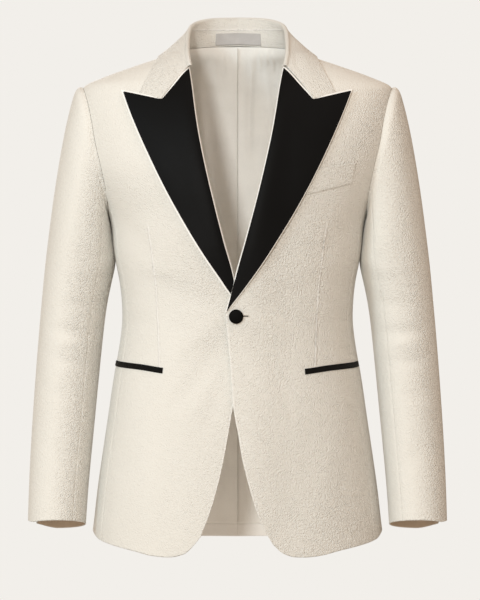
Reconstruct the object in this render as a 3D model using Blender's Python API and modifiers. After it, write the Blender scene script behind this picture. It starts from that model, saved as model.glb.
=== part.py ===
"""One-button dinner jacket with satin peak lapels, standing hollow as if it were worn.

Run with: blender --background --python part.py

Every length in the tables is in millimetres and every angle in degrees; the meshes are made
in metres. +Z is up, the front faces -Y, and the wearer's left is +X. The origin lies between
the two neck points, at the height where the shoulders carry the jacket.

The body is one smooth surface of horizontal rings. A place on it is (theta, z): theta is 0 at
the centre front, 90 at the side and shoulder seam and 180 at the centre back. Each panel is a
patch of that surface between its own edges, with the cloth's thickness on the inside.
"""
import math
from collections import namedtuple

import bmesh
import bpy
import numpy as np

MM = 0.001
COLLECTION = "dinner_jacket"

# Cloth
BODY_WALL = 1.8
LAPEL_WALL = 1.4
SATIN_WALL = 0.9
COLLAR_WALL = 1.8
LINING_WALL = 1.0
WELT_WALL = 1.4
LABEL_WALL = 1.0
SEAM_GAP = 0.4
LINING_GAP = 0.6
FRONT_LAP = 5.6
LAP_FULL_X = 15.0
LAP_END_X = 78.0
LAPEL_RISE = 2.2
LAPEL_RISE_START_Z = -362.0
LAPEL_RISE_FULL_Z = -262.0
SATIN_INSET = 2.0

# Length along the cloth that one degree of theta stands for when edges are divided
DEGREE_LENGTH = 3.0

Ring = namedtuple("Ring", "z half_width front_depth back_depth roundness")
BODY_RINGS = (
    Ring(-740.0, 214.0, 142.0, 137.0, 2.30),
    Ring(-699.0, 209.5, 140.0, 134.0, 2.30),
    Ring(-639.0, 203.5, 138.0, 131.0, 2.30),
    Ring(-582.0, 195.5, 136.0, 127.0, 2.30),
    Ring(-525.0, 187.0, 133.5, 121.0, 2.30),
    Ring(-468.0, 178.8, 130.5, 113.5, 2.30),
    Ring(-422.0, 170.4, 128.0, 108.0, 2.30),
    Ring(-384.0, 166.5, 128.0, 106.0, 2.30),
    Ring(-336.0, 170.0, 130.5, 110.0, 2.30),
    Ring(-302.0, 177.0, 133.5, 115.0, 2.30),
    Ring(-245.0, 183.8, 136.0, 122.0, 2.30),
    Ring(-219.0, 193.5, 136.0, 124.0, 2.30),
    Ring(-196.0, 204.5, 135.0, 125.0, 2.30),
    Ring(-162.0, 218.0, 131.0, 124.0, 2.30),
    Ring(-122.0, 226.5, 123.0, 120.0, 2.28),
    Ring(-80.0, 229.0, 109.0, 111.0, 2.25),
    Ring(-62.0, 227.5, 100.0, 103.5, 2.23),
    Ring(-51.0, 222.5, 94.0, 99.0, 2.22),
    Ring(-38.0, 195.0, 86.0, 92.0, 2.20),
    Ring(-22.0, 151.0, 76.0, 83.0, 2.18),
    Ring(-11.0, 118.0, 68.0, 76.0, 2.15),
    Ring(0.0, 84.0, 60.0, 70.0, 2.10),
    Ring(20.0, 77.0, 53.0, 63.0, 2.10),
)

# Seams on the body, as (theta, z)
SIDE_FRONT_SEAM = ((67, -702.5), (67, -560), (68, -450), (69, -384), (70.5, -304), (71.8, -250),
                   (73.5, -219))
SIDE_BACK_SEAM = ((116, -703), (116, -560), (115.5, -450), (114.5, -384), (113, -304), (111, -250),
                  (109.5, -217))
SIDE_HEM = ((67, -702.5), (78, -699.5), (90, -699), (103, -700.5), (116, -703))
BACK_HEM = ((116, -703), (135, -707.5), (155, -711.5), (179.98, -713))
CENTRE_BACK_Z = (-713, -190, 14)
CENTRE_BACK_THETA = 179.98
SHOULDER_SEAM = ((90, -51.5), (90, -38), (90, -22), (90, -9), (90, 5.5))
BACK_NECK = ((90, 5.5), (108, 7.5), (130, 11), (155, 13.4), (179.98, 14))
ARMHOLE_FRONT = ((90, -51.5), (78, -57), (71.5, -68), (66.8, -88), (63.8, -122), (63, -160), (66.5, -195),
                 (73.5, -219))
ARMHOLE_BACK = ((90, -51.5), (101.5, -57), (109, -70), (114.5, -92), (118, -125), (119, -160), (115.8, -192),
                (109.5, -217))
ARMHOLE_BASE = ((73.5, -219), (81.5, -233.5), (92, -239.5), (101.5, -233), (109.5, -217))
SEAM_TURN = 0.07
NECK_CROWD = 1.6
SETTLE_STEPS = 10

# Edges of the fronts, as (distance from the centre towards the front's own side, z)
FrontCut = namedtuple("FrontCut", "cutaway edge roll hem")
LEFT_CUT = FrontCut(
    cutaway=((49.5, -702), (38.5, -683), (26, -653), (15.5, -617.5), (6.5, -580), (-0.7, -538), (-6, -507)),
    edge=((-6, -507), (-10, -445), (-14, -405), (-15.7, -375.5)),
    roll=((-15.7, -375.5), (-10.9, -353.5), (-4.4, -331), (11, -275.3), (25.7, -219.7), (39.1, -164.3),
          (48.3, -121.9), (53.3, -93.4), (59, -58.4), (64, -25.5)),
    hem=((49.5, -702), (64, -714.5), (81, -720), (98, -720.5), (115, -719), (146, -712.5)),
)
RIGHT_CUT = FrontCut(
    cutaway=((52, -691.5), (39.7, -660.5), (29, -624.5), (20.5, -588.5), (13.6, -551), (5.8, -507)),
    edge=((5.8, -507), (-2, -460), (-8, -420), (-10, -378)),
    roll=((-10, -378), (4.5, -331.4), (19.3, -275.5), (33.4, -219.5), (46.4, -163.5), (54.7, -121.1),
          (59.1, -92.5), (63.6, -57.7), (67.2, -25.5)),
    hem=((52, -691.5), (61, -703), (76, -716), (98, -720.5), (120, -719), (146, -713.5)),
)
FRONT_NECK = ((68, -14), (72.5, -4), (78.5, 3))

# Lapels, as (distance from the centre, z)
LAPEL_OUTER = {
    "left": ((8.9, -344.9), (18.9, -330.8), (37.8, -303), (55.4, -275.3), (72.7, -247.4), (88.7, -219.1),
             (103.8, -191.1), (117.9, -163), (137.5, -120.5), (149.8, -91.8), (161.8, -61.7)),
    "right": ((14.5, -345.3), (24.7, -331.2), (43.8, -303.3), (61.4, -275.3), (77.6, -247.3), (93.3, -219),
              (108, -191), (121.8, -162.9), (141.3, -120.4), (153.2, -91.7), (163.9, -62.5)),
}
NOTCH = (107, -75.4)
GORGE_SHIFT = (0.9, -2.6)
LAPEL_TIP = {"left": ((-15.2, -374.8), (-10.5, -369.5)), "right": ((-4.5, -361), (1.0, -356))}

# Collar, as points in space on its +X half, from the centre back to the gorge
COLLAR_FOLD = ((0, 71, 54), (30, 65, 52.8), (55.5, 45, 47), (68, 18, 37), (71.2, -8, 24.5),
               (71.8, -32, 11), (71.5, -54, -2), (70, -71, -15), (67.5, -80, -27))
COLLAR_EDGE_BACK = ((179.98, 1), (155, 0), (130, -2), (108, -6), (90, -9.5), (69.5, -11.9))
COLLAR_EDGE_FRONT = ((116.6, -19.4), (138.4, -64.6))
COLLAR_FOLD_RADIUS = 3.4
COLLAR_CLEARANCE = 4.3
COLLAR_STATIONS = 13
NOTCH_FADE = 5.0
NECK_GAP = 0.95
STAND_TUCK = 2.0
STAND_RETREAT = 0.75

# Pockets
BREAST_WELT = {"bottom": ((90, -213.5), (126, -204), (162.3, -194.8)),
               "top": ((104, -177), (135, -171.4), (167.2, -165.5))}
HIP_WELTS = {"left": ((29.3, -460.6), (46.5, -455.5), (80, -451.3)),
             "right": ((33.4, -459.3), (49.5, -454.5), (84, -450.5))}
HIP_WELT_HEIGHT = 7.5

# Sleeve rings: the outermost point, the innermost point, half the depth, the middle in y and
# how much lower the back of the ring is than its front
SleeveRing = namedtuple("SleeveRing", "outer_x outer_z inner_x inner_z half_depth centre_y back_drop")
SLEEVE_RINGS = (
    SleeveRing(223.6, -52.0, 183.8, -239.5, 66.0, 2.5, 0.0),
    SleeveRing(229.5, -50.6, 185.6, -246.0, 67.5, 3.0, 0.0),
    SleeveRing(235.0, -56.0, 184.8, -252.0, 69.0, 3.5, 0.0),
    SleeveRing(240.5, -73.0, 183.9, -258.5, 70.3, 4.0, 0.0),
    SleeveRing(247.0, -99.0, 182.9, -265.5, 71.3, 4.5, 0.0),
    SleeveRing(254.0, -133.0, 181.7, -273.5, 72.2, 5.0, 0.0),
    SleeveRing(260.5, -171.0, 180.5, -282.5, 72.8, 5.5, 0.0),
    SleeveRing(267.0, -213.0, 179.3, -294.0, 72.8, 6.0, 0.0),
    SleeveRing(273.0, -259.0, 178.4, -308.0, 71.5, 6.0, 0.0),
    SleeveRing(279.0, -308.0, 182.8, -333.0, 68.5, 6.0, 0.0),
    SleeveRing(284.0, -362.0, 190.5, -371.0, 65.0, 5.0, 0.0),
    SleeveRing(288.5, -415.0, 195.5, -415.0, 62.0, 2.0, 0.0),
    SleeveRing(292.0, -464.0, 200.0, -462.0, 59.5, -3.0, 0.0),
    SleeveRing(295.0, -512.0, 204.3, -509.0, 57.0, -9.0, 0.0),
    SleeveRing(297.5, -558.0, 208.5, -556.0, 54.5, -16.0, 2.0),
    SleeveRing(299.3, -602.0, 212.5, -600.0, 52.0, -23.0, 6.0),
    SleeveRing(300.5, -643.0, 215.8, -642.0, 50.0, -30.0, 13.0),
    SleeveRing(301.0, -682.0, 218.0, -681.0, 49.0, -36.0, 19.0),
)
SLEEVE_SIDES = 20
SLEEVE_ROUNDNESS = 2.1
CAP_RINGS = 6
FRONT_SLEEVE_SEAM = 7
BACK_SLEEVE_SEAM = 17
ARMHOLE_CLEAR = 0.7

# Button
BUTTON_CENTRE = (-1.9, -382.8)
BUTTON_RADIUS = 10.1
BUTTON_HEIGHT = 4.6
BUTTON_STEPS = 20

# Lining and hem
TURN_UP_SHARE = 0.42
LINING_NECK_SHARE = 0.5
CUFF_LINING_RINGS = 3
CUFF_LINING_SHORT = 0.08

COLOURS = {
    "cloth": (0.80, 0.76, 0.68, 0.85),
    "satin": (0.012, 0.012, 0.013, 0.35),
    "lining": (0.60, 0.55, 0.48, 0.50),
    "rib": (0.010, 0.010, 0.011, 0.55),
    "button": (0.012, 0.012, 0.013, 0.40),
    "label": (0.55, 0.53, 0.50, 0.45),
}


def curve_through(knots, values):
    """Return a smooth function through the points, with no overshoot between them."""
    order = np.argsort(knots)
    knots = np.asarray(knots, float)[order]
    values = np.asarray(values, float)[order]
    steps = np.diff(knots)
    slopes = np.diff(values) / steps
    tangents = np.zeros(len(knots))
    tangents[0] = slopes[0]
    tangents[-1] = slopes[-1]
    for i in range(1, len(knots) - 1):
        if slopes[i - 1] * slopes[i] > 0:
            before = 2 * steps[i] + steps[i - 1]
            after = steps[i] + 2 * steps[i - 1]
            tangents[i] = (before + after) / (before / slopes[i - 1] + after / slopes[i])

    def value(place):
        place = np.clip(place, knots[0], knots[-1])
        i = np.clip(np.searchsorted(knots, place) - 1, 0, len(steps) - 1)
        t = (place - knots[i]) / steps[i]
        rest = 1 - t
        ends = values[i] * (1 + 2 * t) * rest ** 2 + values[i + 1] * (1 + 2 * rest) * t ** 2
        bends = steps[i] * t * rest * (tangents[i] * rest - tangents[i + 1] * t)
        return ends + bends

    return value


RING_HEIGHTS = [ring.z for ring in BODY_RINGS]
half_width = curve_through(RING_HEIGHTS, [ring.half_width for ring in BODY_RINGS])
front_depth = curve_through(RING_HEIGHTS, [ring.front_depth for ring in BODY_RINGS])
back_depth = curve_through(RING_HEIGHTS, [ring.back_depth for ring in BODY_RINGS])
roundness = curve_through(RING_HEIGHTS, [ring.roundness for ring in BODY_RINGS])


def body_surface(places):
    """Return the points in space of an array of (theta, z) places."""
    angle = np.radians(places[..., 0])
    z = places[..., 1]
    power = 2 / roundness(z)
    sine = np.sin(angle)
    cosine = np.cos(angle)
    depth = np.where(cosine > 0, front_depth(z), back_depth(z))
    x = half_width(z) * np.sign(sine) * np.abs(sine) ** power
    y = -depth * np.sign(cosine) * np.abs(cosine) ** power
    return np.stack([x, y, z], axis=-1)


def body_level(points):
    """Return 1 on the body's surface, less inside it and more outside."""
    x, y, z = points[..., 0], points[..., 1], points[..., 2]
    power = roundness(z)
    depth = np.where(y < 0, front_depth(z), back_depth(z))
    return ((np.abs(x) / half_width(z)) ** power + (np.abs(y) / depth) ** power) ** (1 / power)


def body_gradient(points):
    """Return the change of body_level along x, y and z."""
    step = 0.01
    parts = []
    for axis in range(3):
        shift = np.zeros(3)
        shift[axis] = step
        parts.append((body_level(points + shift) - body_level(points - shift)) / (2 * step))
    return np.stack(parts, axis=-1)


def unit(vectors):
    return vectors / np.linalg.norm(vectors, axis=-1, keepdims=True)


def body_normal(points):
    return unit(body_gradient(points))


def lift(points, clearance, top=6.0):
    """Move the points below the height top out, until they clear the body's surface."""
    points = np.array(points, float)
    for _ in range(12):
        gradient = body_gradient(points)
        steepness = np.linalg.norm(gradient, axis=-1)
        distance = (body_level(points) - 1) / steepness
        short = np.clip(clearance - distance, 0, None) * (points[..., 2] < top)
        points = points + gradient * (0.6 * short / steepness)[..., None]
    return points


def on_front(pairs):
    """Return the (theta, z) places of (x, z) pairs on the front of the body."""
    pairs = np.asarray(pairs, float)
    x, z = pairs[..., 0], pairs[..., 1]
    ratio = np.clip(np.abs(x) / half_width(z), 0, 1)
    theta = np.degrees(np.arcsin(ratio ** (roundness(z) / 2)))
    return np.stack([np.sign(x) * theta, z], axis=-1)


def spaced(points, cells, crowd=1.0):
    """Return cells + 1 points along a smooth line through the given ones. They are evenly spaced,
    or with crowd above 1 they are closer together near its start."""
    points = np.asarray(points, float)
    weights = np.ones(points.shape[1])
    if points.shape[1] == 2:
        weights[0] = DEGREE_LENGTH
    along = travelled(points * weights)
    fine = np.linspace(0, along[-1], 20 * len(points))
    columns = [curve_through(along, points[:, axis])(fine) for axis in range(points.shape[1])]
    line = np.stack(columns, axis=-1)
    along = travelled(line * weights)
    even = along[-1] * np.linspace(0, 1, cells + 1) ** crowd
    return np.stack([np.interp(even, along, line[:, axis]) for axis in range(points.shape[1])], axis=-1)


def travelled(points):
    """Return the distance from the first point to each point, along the line."""
    return np.concatenate([[0], np.cumsum(np.linalg.norm(np.diff(points, axis=0), axis=1))])


def chain(*runs):
    """Join runs of points that share their end points."""
    return np.concatenate([runs[0]] + [run[1:] for run in runs[1:]])


def patch(bottom, top, left, right):
    """Fill four edges with a smooth grid. Rows run from bottom to top, columns left to right."""
    u = np.linspace(0, 1, len(bottom))[None, :, None]
    v = np.linspace(0, 1, len(left))[:, None, None]
    between_rows = (1 - v) * bottom[None] + v * top[None]
    between_columns = (1 - u) * left[:, None] + u * right[:, None]
    corners = (1 - v) * ((1 - u) * bottom[0] + u * bottom[-1]) + v * ((1 - u) * top[0] + u * top[-1])
    return between_rows + between_columns - corners


def place_of(points):
    """Return the (theta, z) places that points near the body's surface stand over."""
    x, y, z = points[..., 0], points[..., 1], points[..., 2]
    half_power = roundness(z) / 2
    depth = np.where(y < 0, front_depth(z), back_depth(z))
    sideways = (np.abs(x) / half_width(z)) ** half_power
    lengthways = (np.abs(y) / depth) ** half_power
    theta = np.degrees(np.arctan2(sideways, lengthways))
    theta = np.where(y < 0, theta, 180 - theta)
    return np.stack([np.where(x < 0, -theta, theta), z], axis=-1)


def settled(points):
    """Bring points near the body onto its surface, by the shortest way."""
    for _ in range(SETTLE_STEPS):
        gradient = body_gradient(points)
        excess = (body_level(points) - 1)[..., None]
        points = points - gradient * excess / (gradient ** 2).sum(axis=-1, keepdims=True)
    return points


def body_patch(bottom, top, left, right):
    """Fill four edges given as places: the grid is even in space, and is kept on the body."""
    edges = [body_surface(np.asarray(edge, float)) for edge in (bottom, top, left, right)]
    places = place_of(settled(patch(*edges)))
    places[0], places[-1] = bottom, top
    places[:, 0], places[:, -1] = left, right
    return places


def grid_normals(grid, closed=False):
    """Return the unit normals of a grid of points; a closed grid's columns go round."""
    if closed:
        across = np.roll(grid, -1, axis=1) - np.roll(grid, 1, axis=1)
    else:
        across = np.gradient(grid, axis=1)
    along = np.gradient(grid, axis=0)
    return unit(np.cross(across, along))


def material(slot):
    name = "jacket_" + slot
    found = bpy.data.materials.get(name)
    if found:
        return found
    red, green, blue, rough = COLOURS[slot]
    made = bpy.data.materials.new(name)
    made.use_nodes = True
    shader = made.node_tree.nodes["Principled BSDF"]
    shader.inputs["Base Color"].default_value = (red, green, blue, 1)
    shader.inputs["Roughness"].default_value = rough
    shader.inputs["Metallic"].default_value = 0.0
    made.diffuse_color = (red, green, blue, 1)
    return made


def add_object(name, mesh, slot):
    """Put a finished mesh in the jacket's collection."""
    mesh.materials.append(material(slot))
    made = bpy.data.objects.new(name, mesh)
    bpy.data.collections[COLLECTION].objects.link(made)
    return made


def wall(name, slot, outer, inner, closed=False):
    """Make a closed piece of cloth from the grids of its two faces."""
    rows, columns = outer.shape[:2]
    points = np.concatenate([outer.reshape(-1, 3), inner.reshape(-1, 3)]) * MM
    under = rows * columns
    last = columns if closed else columns - 1
    faces = []
    for row in range(rows - 1):
        for column in range(last):
            after = (column + 1) % columns
            a = row * columns + column
            b = row * columns + after
            c = (row + 1) * columns + after
            d = (row + 1) * columns + column
            faces += [(a, b, c), (a, c, d)]
            faces += [(under + c, under + b, under + a), (under + d, under + c, under + a)]
    for column in range(last):
        after = (column + 1) % columns
        base = (rows - 1) * columns
        faces.append((column, under + column, under + after, after))
        faces.append((base + after, under + base + after, under + base + column, base + column))
    if not closed:
        for row in range(rows - 1):
            low, high = row * columns, (row + 1) * columns
            faces.append((low, high, under + high, under + low))
            low, high = low + columns - 1, high + columns - 1
            faces.append((low, under + low, under + high, high))
    mesh = bpy.data.meshes.new(name)
    mesh.from_pydata(points.tolist(), [], faces)
    cage = bmesh.new()
    cage.from_mesh(mesh)
    if cage.calc_volume(signed=True) < 0:
        bmesh.ops.reverse_faces(cage, faces=cage.faces)
    cage.to_mesh(mesh)
    cage.free()
    mesh.shade_smooth()
    mesh.set_sharp_from_angle(angle=math.radians(40))
    return add_object(name, mesh, slot)


def mirrored(grid, side):
    """Return the grid on its own side of the body."""
    if side == "left":
        return grid
    return grid * np.array([-1.0, 1.0, 1.0])


def lap(x, side):
    """Return how far the left front stands out where it laps over the right one."""
    if side == "right":
        return np.zeros_like(x)
    t = np.clip((LAP_END_X - x) / (LAP_END_X - LAP_FULL_X), 0, 1)
    return FRONT_LAP * t * t * (3 - 2 * t)


def panel(name, slot, places, side, lowest, thickness, lapped=False):
    """Make cloth over (theta, z) places: its inner face is at lowest, out from the surface."""
    surface = body_surface(places)
    normals = body_normal(surface)
    base = lowest + (lap(surface[..., 0], side) if lapped else 0.0)
    base = np.broadcast_to(base, surface.shape[:2])[..., None]
    inner = surface + normals * base
    outer = inner + normals * np.broadcast_to(thickness, surface.shape[:2])[..., None]
    return wall(name, slot, mirrored(outer, side), mirrored(inner, side))


def turned(run, amount):
    """Shift a run of places round the body."""
    return run + np.array([amount, 0.0])


def lowered(run, amount):
    return run - np.array([0.0, amount])


def make_fronts():
    for side, cut in (("left", LEFT_CUT), ("right", RIGHT_CUT)):
        hem = np.concatenate([on_front(cut.hem), np.array(SIDE_FRONT_SEAM[:1], float)])
        neck = np.concatenate([[cut.roll[-1]], FRONT_NECK])
        neck = np.concatenate([on_front(neck), np.array(SHOULDER_SEAM[-1:], float)])
        inner = chain(
            spaced(on_front(cut.cutaway), 5),
            spaced(on_front(cut.edge), 3),
            spaced(on_front(cut.roll), 8),
            spaced(neck, 3),
        )
        outer = chain(spaced(SIDE_FRONT_SEAM, 11), spaced(ARMHOLE_FRONT[::-1], 8))
        shoulder = turned(spaced(SHOULDER_SEAM[::-1], 10, NECK_CROWD), -SEAM_TURN)
        inner[-1] = shoulder[0]
        outer = turned(outer, -SEAM_TURN)
        bottom = spaced(hem, 10)
        bottom[-1] = outer[0]
        outer[-1] = shoulder[-1]
        places = body_patch(bottom, shoulder, inner, outer)
        panel("front_" + side, "cloth", places, side, -BODY_WALL, BODY_WALL, lapped=True)


def make_sides():
    for side in ("left", "right"):
        front = turned(spaced(SIDE_FRONT_SEAM, 11), SEAM_TURN)
        back = turned(spaced(SIDE_BACK_SEAM, 11), -SEAM_TURN)
        bottom = spaced(SIDE_HEM, 5)
        top = spaced(ARMHOLE_BASE, 5)
        bottom[0], bottom[-1] = front[0], back[0]
        top[0], top[-1] = front[-1], back[-1]
        panel("side_" + side, "cloth", body_patch(bottom, top, front, back), side, -BODY_WALL, BODY_WALL)


def back_places():
    """Return the places of a back panel, its columns from the side seam to the centre back."""
    outer = turned(chain(spaced(SIDE_BACK_SEAM, 11), spaced(ARMHOLE_BACK[::-1], 8)), SEAM_TURN)
    low, middle, high = [(CENTRE_BACK_THETA, z) for z in CENTRE_BACK_Z]
    centre = chain(spaced((low, middle), 11), spaced((high, middle), 8, NECK_CROWD)[::-1])
    shoulder = turned(spaced(SHOULDER_SEAM[::-1], 5, NECK_CROWD)[::-1], SEAM_TURN)
    top = chain(shoulder, spaced(BACK_NECK, 6))
    bottom = spaced(BACK_HEM, 11)
    bottom[0], bottom[-1] = outer[0], centre[0]
    outer[-1], centre[-1] = top[0], top[-1]
    return body_patch(bottom, top, outer, centre)


def make_backs():
    """The backs, their linings, which show in the neck and below the fronts, and the hem turned
    up inside. The linings keep the rows and columns of the backs, so the gap stays even."""
    low = -BODY_WALL - LINING_GAP - LINING_WALL
    for side in ("left", "right"):
        places = back_places()
        panel("back_" + side, "cloth", places, side, -BODY_WALL, BODY_WALL)
        turn_up = places[:2, 1:].copy()
        turn_up[1] += (turn_up[0] - turn_up[1]) * (1 - TURN_UP_SHARE)
        lining = places[:, 1:].copy()
        lining[0] = turn_up[1] + [0, SEAM_GAP]
        lining[-1] += (lining[-2] - lining[-1]) * LINING_NECK_SHARE
        panel("lining_back_" + side, "lining", lining, side, low, LINING_WALL)
        panel("hem_turn_up_" + side, "cloth", turn_up, side, low, LINING_WALL)


def lapel_places(side, inset):
    """Return the (x, z) grid of a lapel, its edges moved in by inset."""
    cut = LEFT_CUT if side == "left" else RIGHT_CUT
    tip_inner, tip_outer = LAPEL_TIP[side]
    gorge_start = (cut.roll[-1][0] + GORGE_SHIFT[0], cut.roll[-1][1] + GORGE_SHIFT[1])
    roll = tuple(point for point in cut.roll[:-1] if point[1] > tip_inner[1] + 4)
    roll = spaced_flat((tip_inner,) + roll + (gorge_start,), 15)
    outer = spaced_flat((tip_outer,) + LAPEL_OUTER[side], 15)
    gorge = spaced_flat((gorge_start, NOTCH), 4)
    peak = spaced_flat((NOTCH, LAPEL_OUTER[side][-1]), 3)
    top = chain(gorge, peak)
    bottom = spaced_flat((tip_inner, tip_outer), 7)
    grid = patch(bottom, top, roll, outer)
    if inset == 0:
        return grid
    return shrink(grid, inset)


def spaced_flat(points, cells):
    """Like spaced, for points that are millimetres both ways."""
    flat = np.asarray(points, float) / np.array([DEGREE_LENGTH, 1.0])
    return spaced(flat, cells) * np.array([DEGREE_LENGTH, 1.0])


def shrink(grid, inset):
    """Pull the edge rows and columns of a flat grid in by a distance."""
    grid = grid.copy()
    for edge, inside in ((0, 1), (-1, -2)):
        pull = grid[:, inside] - grid[:, edge]
        length = np.linalg.norm(pull, axis=-1, keepdims=True)
        grid[:, edge] += pull * np.minimum(inset / np.maximum(length, 1e-6), 0.6)
    for edge, inside in ((0, 1), (-1, -2)):
        pull = grid[inside] - grid[edge]
        length = np.linalg.norm(pull, axis=-1, keepdims=True)
        grid[edge] += pull * np.minimum(1.15 * inset / np.maximum(length, 1e-6), 0.6)
    return grid


def make_lapels():
    for side in ("left", "right"):
        places = on_front(lapel_places(side, 0.0))
        height = np.clip((places[..., 1] - LAPEL_RISE_START_Z) / (LAPEL_RISE_FULL_Z - LAPEL_RISE_START_Z), 0, 1)
        low = SEAM_GAP + LAPEL_RISE * height * np.linspace(0, 1, 8)[None, :]
        panel("lapel_" + side, "cloth", places, side, low, LAPEL_WALL, lapped=True)
        low = low + LAPEL_WALL + SEAM_GAP
        places = on_front(lapel_places(side, SATIN_INSET))
        panel("lapel_satin_" + side, "satin", places, side, low, SATIN_WALL, lapped=True)


def collar_lines():
    """Return the fold, neck seam and outer edge of the collar's +X half, at its stations."""
    fold = lift(spaced(COLLAR_FOLD, COLLAR_STATIONS), COLLAR_CLEARANCE + 1.0)
    neck_front = on_front(np.array(FRONT_NECK[::-1] + ((67.5, -24),), float))
    neck = np.concatenate([np.array(BACK_NECK[::-1], float), neck_front])
    neck = body_surface(spaced(neck, COLLAR_STATIONS))
    outward = body_normal(neck)
    level_part = np.linalg.norm(outward[:, :2], axis=1, keepdims=True)
    outward[:, 2] = 0
    clear = BODY_WALL * level_part + NECK_GAP + COLLAR_WALL
    seam = neck - unit(outward) * clear - [0, 0, STAND_TUCK]
    edge_front = on_front(np.linspace(*COLLAR_EDGE_FRONT, 8))
    edge = np.concatenate([np.array(COLLAR_EDGE_BACK, float), edge_front])
    edge = lift(body_surface(spaced(edge, COLLAR_STATIONS)), COLLAR_CLEARANCE)
    return fold, seam, edge


def collar_half():
    """Return the outer face of the collar's +X half: rows are stations, columns go from the neck
    seam up the stand, over the fold and down the fall."""
    fold, seam, edge = collar_lines()
    tangent = unit(np.gradient(fold, axis=0))
    outward = unit(np.cross(tangent, [0, 0, 1.0]))
    outward *= np.sign(np.sum(outward * (edge - fold), axis=1, keepdims=True))
    upward = unit(np.cross(outward, tangent))
    upward *= np.sign(upward[:, 2:])
    radius = COLLAR_FOLD_RADIUS
    arc = []
    for angle in (180, 135, 90, 45, 0):
        turn = math.radians(angle)
        arc.append(fold + radius * (math.cos(turn) * outward + math.sin(turn) * upward))
    along = np.linspace(0, 1, len(fold))[:, None]
    retreat = STAND_RETREAT * np.clip((along - 0.6) / 0.2, 0, 1)
    base = seam + (arc[0] - seam) * retreat
    stand = [base + (arc[0] - base) * share for share in (0, 1 / 3, 2 / 3)]
    start = arc[-1]
    gorge_end = lift(body_surface(on_front(np.array([(NOTCH[0] + 0.3, NOTCH[1] + 0.8)]))),
                     COLLAR_CLEARANCE)[0]
    front_end = chain(spaced((start[-1], gorge_end), 3), spaced((gorge_end, edge[-1]), 2))
    share = np.linspace(0, 1, len(front_end))[None, :, None]
    straight = start[:, None] * (1 - share) + edge[:, None] * share
    fade = np.linspace(0, 1, len(fold)) ** NOTCH_FADE
    fall = straight + fade[:, None, None] * (front_end - straight[-1])
    fall[:, 1:] = lift(fall[:, 1:], COLLAR_CLEARANCE)
    columns = stand + arc + [fall[:, column] for column in range(1, fall.shape[1])]
    return np.stack(columns, axis=1)


def both_halves(half):
    """Return a grid of rows from the right end, over the centre back, to the left end."""
    other = half[:0:-1] * np.array([-1.0, 1.0, 1.0])
    return np.concatenate([other, half])


def make_collar():
    face = both_halves(collar_half())
    normals = grid_normals(face)
    centre = face[COLLAR_STATIONS, 0]
    if np.dot(normals[COLLAR_STATIONS, 0], np.array([0, 5.0, centre[2]]) - centre) < 0:
        normals = -normals
    wall("collar", "cloth", face, face - normals * COLLAR_WALL)
    make_label(face)


def make_label(face):
    """A bare woven label on the inside of the collar stand, over its middle stations."""
    middle = face[COLLAR_STATIONS - 2:COLLAR_STATIONS + 3]
    low = middle[:, 0] + (middle[:, 3] - middle[:, 0]) * 0.10
    high = middle[:, 0] + (middle[:, 3] - middle[:, 0]) * 0.52
    under = np.stack([low, high], axis=1)
    normals = grid_normals(under)
    if normals[2, 0, 1] > 0:
        normals = -normals
    under = under + normals * SEAM_GAP
    wall("neck_label", "label", under + normals * LABEL_WALL, under)


def make_breast_welt():
    bottom = spaced_flat(BREAST_WELT["bottom"], 5)
    top = spaced_flat(BREAST_WELT["top"], 5)
    grid = np.stack([bottom, (bottom + top) / 2, top])
    panel("breast_welt", "cloth", on_front(grid), "left", SEAM_GAP, WELT_WALL, lapped=True)


def make_hip_welts():
    for side, welt in HIP_WELTS.items():
        middle = spaced(welt, 8)
        half = HIP_WELT_HEIGHT / 2
        grid = np.stack([lowered(middle, half), lowered(middle, -half)])
        panel("hip_welt_" + side, "rib", grid, side, SEAM_GAP + 0.2, WELT_WALL)


def sleeve_grid():
    """Return the outer face of the left sleeve: a row for each ring, its columns going round from
    the outside over the front and the inside to the back."""
    half = SLEEVE_SIDES // 2
    base = np.array(ARMHOLE_BASE, float)
    front = np.concatenate([np.array(ARMHOLE_FRONT[:-1], float), base[:3]])
    back = np.concatenate([np.array(ARMHOLE_BACK[:-1], float), base[:1:-1]])
    loop = np.concatenate([spaced(front, half), spaced(back, half)[-2:0:-1]])
    centre = np.array([91.0, -145.0])
    loop = centre + (loop - centre) * np.array([0.985, 0.994])
    armhole = body_surface(loop)
    armhole = armhole + body_normal(armhole) * ARMHOLE_CLEAR
    rings = [sleeve_ring(ring) for ring in SLEEVE_RINGS]
    for index in range(CAP_RINGS):
        share = (1 - index / CAP_RINGS) ** 1.5
        if index == 0:
            residue = armhole - rings[0]
        rings[index] = rings[index] + residue * share
    return np.stack(rings)


def sleeve_ring(ring):
    """Return the points of one ring of the left sleeve."""
    turn = np.linspace(0, 2 * math.pi, SLEEVE_SIDES, endpoint=False)
    power = 2 / SLEEVE_ROUNDNESS
    out = np.sign(np.cos(turn)) * np.abs(np.cos(turn)) ** power
    fore = np.sign(np.sin(turn)) * np.abs(np.sin(turn)) ** power
    x = (ring.outer_x + ring.inner_x) / 2 + out * (ring.outer_x - ring.inner_x) / 2
    z = (ring.outer_z + ring.inner_z) / 2 + out * (ring.outer_z - ring.inner_z) / 2
    y = ring.centre_y - fore * ring.half_depth
    z = z + fore * ring.back_drop / 2
    return np.stack([x, y, z], axis=-1)


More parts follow.
